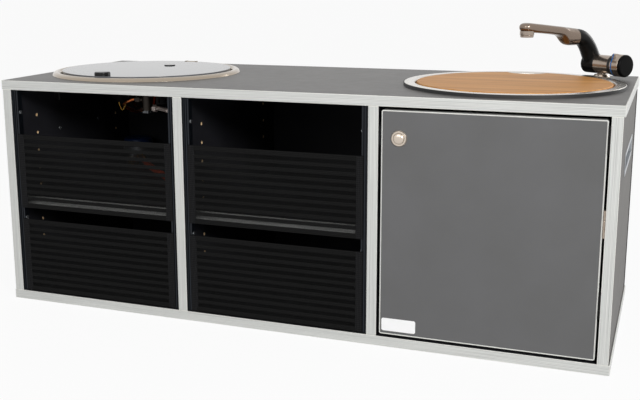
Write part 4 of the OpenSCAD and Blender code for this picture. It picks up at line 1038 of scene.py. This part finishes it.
def repeat_tree():
    """A node tree that sets a unit at each point of a mesh and gives it a material."""
    tree = bpy.data.node_groups.new("repeat_at_points", "GeometryNodeTree")
    tree.interface.new_socket("Points", in_out="INPUT", socket_type="NodeSocketGeometry")
    tree.interface.new_socket("Unit", in_out="INPUT", socket_type="NodeSocketObject")
    tree.interface.new_socket("Finish", in_out="INPUT", socket_type="NodeSocketMaterial")
    tree.interface.new_socket("Turn Most", in_out="INPUT", socket_type="NodeSocketVector")
    tree.interface.new_socket("Result", in_out="OUTPUT", socket_type="NodeSocketGeometry")
    given = tree.nodes.new("NodeGroupInput").outputs
    points = add(tree, "GeometryNodeMeshToPoints", Mesh=given["Points"])
    unit = add(tree, "GeometryNodeObjectInfo", Object=given["Unit"])
    turn = add(tree, "FunctionNodeRandomValue", {"data_type": "FLOAT_VECTOR"}, Seed=7)
    tree.links.new(given["Turn Most"], turn.inputs[1])
    copies = add(tree, "GeometryNodeInstanceOnPoints", Points=points.outputs[0],
                 Instance=unit.outputs["Geometry"], Rotation=turn.outputs[0])
    real = add(tree, "GeometryNodeRealizeInstances", Geometry=copies.outputs[0])
    made = add(tree, "GeometryNodeSetMaterial", Geometry=real.outputs[0],
               Material=given["Finish"])
    out = tree.nodes.new("NodeGroupOutput")
    tree.links.new(made.outputs[0], out.inputs[0])
    return tree


REPEAT = repeat_tree()


def repeated(name, unit_mesh, places, kind, turn_most=(0, 0, 0)):
    """One mesh with a copy of a unit at every place, made by the node tree."""
    unit = placed(name + "_unit", unit_mesh)
    spots = bpy.data.meshes.new(name)
    spots.from_pydata([tuple(p) for p in places], [], [])
    piece = placed(name, spots)
    maker = piece.modifiers.new("repeat", "NODES")
    inputs = {s.name: s.identifier for s in REPEAT.interface.items_tree if s.in_out == "INPUT"}
    maker.node_group = REPEAT
    maker[inputs["Unit"]] = unit
    maker[inputs["Finish"]] = kind
    maker[inputs["Turn Most"]] = turn_most
    settled(piece)
    bpy.data.objects.remove(unit)
    bpy.data.meshes.remove(unit_mesh)
    return piece


print("repeating takes", len(REPEAT.nodes), "nodes")

# %% [markdown]
# Each net takes the place of its solid and is stretched between its two rails. Its size and
# its count of threads are printed.

# %% Elastic nets


def net(node):
    """An elastic net in the place of its node."""
    low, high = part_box(node)
    y = (low.y + high.y) / 2
    inner_low, inner_high = low.x + TUCK, high.x - TUCK
    unit = ribbon(node + "_band", inner_low, inner_high, 0, 0, BAND_HIGH, BAND_THICK, 4)
    places = [(0, y, low.z + FIRST_BAND + BAND_PITCH * k) for k in range(BANDS)]
    parts = [repeated(node + "_bands", unit, places, band_elastic)]
    for z0, high_of in ((low.z, HEM_HIGH), (low.z + NET_HIGH - TOP_HEM_HIGH, TOP_HEM_HIGH)):
        hem = ribbon(node + "_hem", inner_low, inner_high, y, z0, z0 + high_of, HEM_THICK, 5)
        parts.append(lone(node + "_hem", hem, band_elastic))
    first, last = low.x + TAPE, high.x - TAPE
    count = int((last - first) / THREAD_PITCH)
    thread = ribbon(node + "_thread", 0, THREAD, 0, low.z + THREAD_INSET,
                    high.z - THREAD_INSET, THREAD_THICK, 1, "z", 1)
    spots = [(first + THREAD_PITCH * (k + 0.5), y, 0) for k in range(count)]
    parts.append(repeated(node + "_threads", thread, spots, sheer_thread))
    for x0 in (low.x, high.x - TAPE):
        tape = ribbon(node + "_tape", x0, x0 + TAPE, y, low.z, high.z, TAPE_THICK, 5, "z", 44)
        parts.append(lone(node + "_tape", tape, tape_elastic))
    piece = joined(node + "_woven", parts)
    belongs(piece, node)
    wide = high.x - low.x
    print(node, round(wide, 4), "x", NET_HIGH, "m,", count, "threads")


for node in ("left_upper_net", "left_lower_net", "middle_upper_net", "middle_lower_net"):
    net(node)

# %% [markdown]
# A drill frays the black facing round a shelf pin hole, and the pale chipboard shows as a small
# ring. The same node tree sets a frayed ring in every free hole and turns each one differently.

# %% Raw rims of the pin holes
PIN_ROWS = 8
PIN_PITCH = 0.032
FIRST_PIN = 0.101
SHELF_ROW = 2
RIM_STEPS = 14


def raw_rim(name, way):
    """A frayed cup of chipboard in a hole of 5 mm that opens along X."""
    rings = [[(-way * 3.0 * MM, 0, 0)]]
    for radius, depth, fray in ((2.3, 3.0, 0), (2.45, 0.1, 0.1), (2.95, -0.06, 0.3),
                                (2.95, 0.04, 0.3), (2.49, 0.1, 0), (2.49, 3.2, 0)):
        ring = []
        for a in angles(RIM_STEPS):
            r = radius + fray * math.sin(5 * a + 1.3) * math.cos(3 * a)
            ring.append((-way * depth * MM, r * math.cos(a) * MM, r * math.sin(a) * MM))
        rings.append(ring)
    return ringed(name, rings + [[(-way * 3.2 * MM, 0, 0)]], 80)


for side, faces in ((1, (-0.4975, -0.167)), (-1, (-0.183, 0.1475))):
    holes = [(x, y, FIRST_PIN + PIN_PITCH * row) for x in faces for y in (-0.129, 0.137)
             for row in range(PIN_ROWS) if row != SHELF_ROW]
    name = "raw_rims_right" if side > 0 else "raw_rims_left"
    rims = repeated(name, raw_rim(name, side), holes, raw_board, (FULL_TURN, 0, 0))
    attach(rims, "cabinet")
    print(name, len(holes))

# %% [markdown]
# A thin brass tube, the lead of the flame guard, hangs in a narrow loop under the hob's bowl. It
# is stiff capillary tube, bent once by hand, so it stays as it is: a curve that is made a mesh.

# %% Lead of the flame guard
LEAD_RADIUS = 0.0006
LEAD = [(-343, -99, 351), (-342.5, -99.5, 347.5), (-341, -100, 343.5), (-339, -100, 339.5),
        (-337, -100, 337.2), (-335, -100, 337.6), (-333.5, -100, 340), (-332, -99.5, 343.5),
        (-329.5, -99, 347.5), (-327.5, -98.5, 351)]
lead_line = smooth_line([Vector(point) * MM for point in LEAD], 4)
lead_curve = tube_curve("flame_guard_lead", lead_line, LEAD_RADIUS, 3)
lead_shape = bpy.data.meshes.new_from_object(lead_curve.evaluated_get(
    bpy.context.evaluated_depsgraph_get()))
bpy.data.objects.remove(lead_curve)
lead = lone("flame_guard_lead_tube", lead_shape, brass_finish)
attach(lead, "cabinet")
print("lead", len(lead.data.polygons), "faces")

# %% [markdown]
# The floor and the room look plain white to the camera and in mirrors, but they light the
# object only dimly. Light Path tells the kinds of ray apart. The floor keeps a small lit part,
# so that the object still drops its shadow on it.

# %% White floor and room
FLOOR_REACH = 30
FLOOR_WHITE = 0.93
ROOM_DIM = 0.26

corners = [(x * FLOOR_REACH, y * FLOOR_REACH, 0) for x, y in ((-1, -1), (1, -1), (1, 1), (-1, 1))]
floor_mesh = bpy.data.meshes.new("studio_floor")
floor_mesh.from_pydata(corners, [], [(0, 1, 2, 3)])
floor = placed("studio_floor", floor_mesh)


def seen_white(tree, lit, share):
    """White of strength 1 to camera, glossy and transmission rays, mixed into a lit shader."""
    path = add(tree, "ShaderNodeLightPath").outputs
    seen = add(tree, "ShaderNodeMath", {"operation": "MAXIMUM"}, _0=path["Is Camera Ray"],
               _1=path["Is Glossy Ray"])
    seen = add(tree, "ShaderNodeMath", {"operation": "MAXIMUM"}, _0=seen.outputs[0],
               _1=path["Is Transmission Ray"])
    part = add(tree, "ShaderNodeMath", {"operation": "MULTIPLY"}, _0=seen.outputs[0], _1=share)
    white = add(tree, "ShaderNodeEmission", Strength=1.0)
    mixed = add(tree, "ShaderNodeMixShader", _0=part.outputs[0], _1=lit,
                _2=white.outputs[0])
    return mixed.outputs[0]


floor_finish = bpy.data.materials.new("white_studio_floor")
floor_finish.use_nodes = True
floor_tree = floor_finish.node_tree
matte = floor_tree.nodes["Principled BSDF"]
matte.inputs["Base Color"].default_value = (0.9, 0.9, 0.9, 1)
matte.inputs["Roughness"].default_value = 0.9
floor_tree.links.new(seen_white(floor_tree, matte.outputs[0], FLOOR_WHITE),
                     floor_tree.nodes["Material Output"].inputs["Surface"])
floor_mesh.materials.append(floor_finish)

room = bpy.data.worlds.new("white_room")
room.use_nodes = True
room_tree = room.node_tree
dim = room_tree.nodes["Background"]
dim.inputs["Color"].default_value = (1, 1, 1, 1)
dim.inputs["Strength"].default_value = ROOM_DIM
room_tree.links.new(seen_white(room_tree, dim.outputs[0], 1.0),
                    room_tree.nodes["World Output"].inputs["Surface"])
bpy.context.scene.world = room
print("floor and room are white, and the room lights at", ROOM_DIM)

# %% [markdown]
# The main lamp stands at the front right, so its light falls into the bays on their left walls.
# A softer one fills the fronts, and a weak one behind keeps the back readable. All three are
# large squares, because a broad lamp gives soft shadow edges.

# %% Lamps


def area_light(name, at, towards, size, watts):
    """A square soft light at a place that points at another."""
    data = bpy.data.lights.new(name, "AREA")
    data.size = size
    data.energy = watts
    lamp = placed(name, data)
    lamp.location = at
    aim = Vector(towards) - Vector(at)
    lamp.rotation_euler = aim.to_track_quat("-Z", "Y").to_euler()


area_light("front_softbox", (-0.3, -2.4, 1.4), (0, 0, 0.2), 1.2, 15)
area_light("right_softbox", (2.2, -2.3, 1.5), (-0.1, 0, 0.25), 0.7, 55)
area_light("back_fill", (2.0, 2.6, 1.1), (0, 0.1, 0.2), 1.2, 16)
bpy.context.scene.view_settings.view_transform = "Standard"
print(len(bpy.data.lights), "lamps")
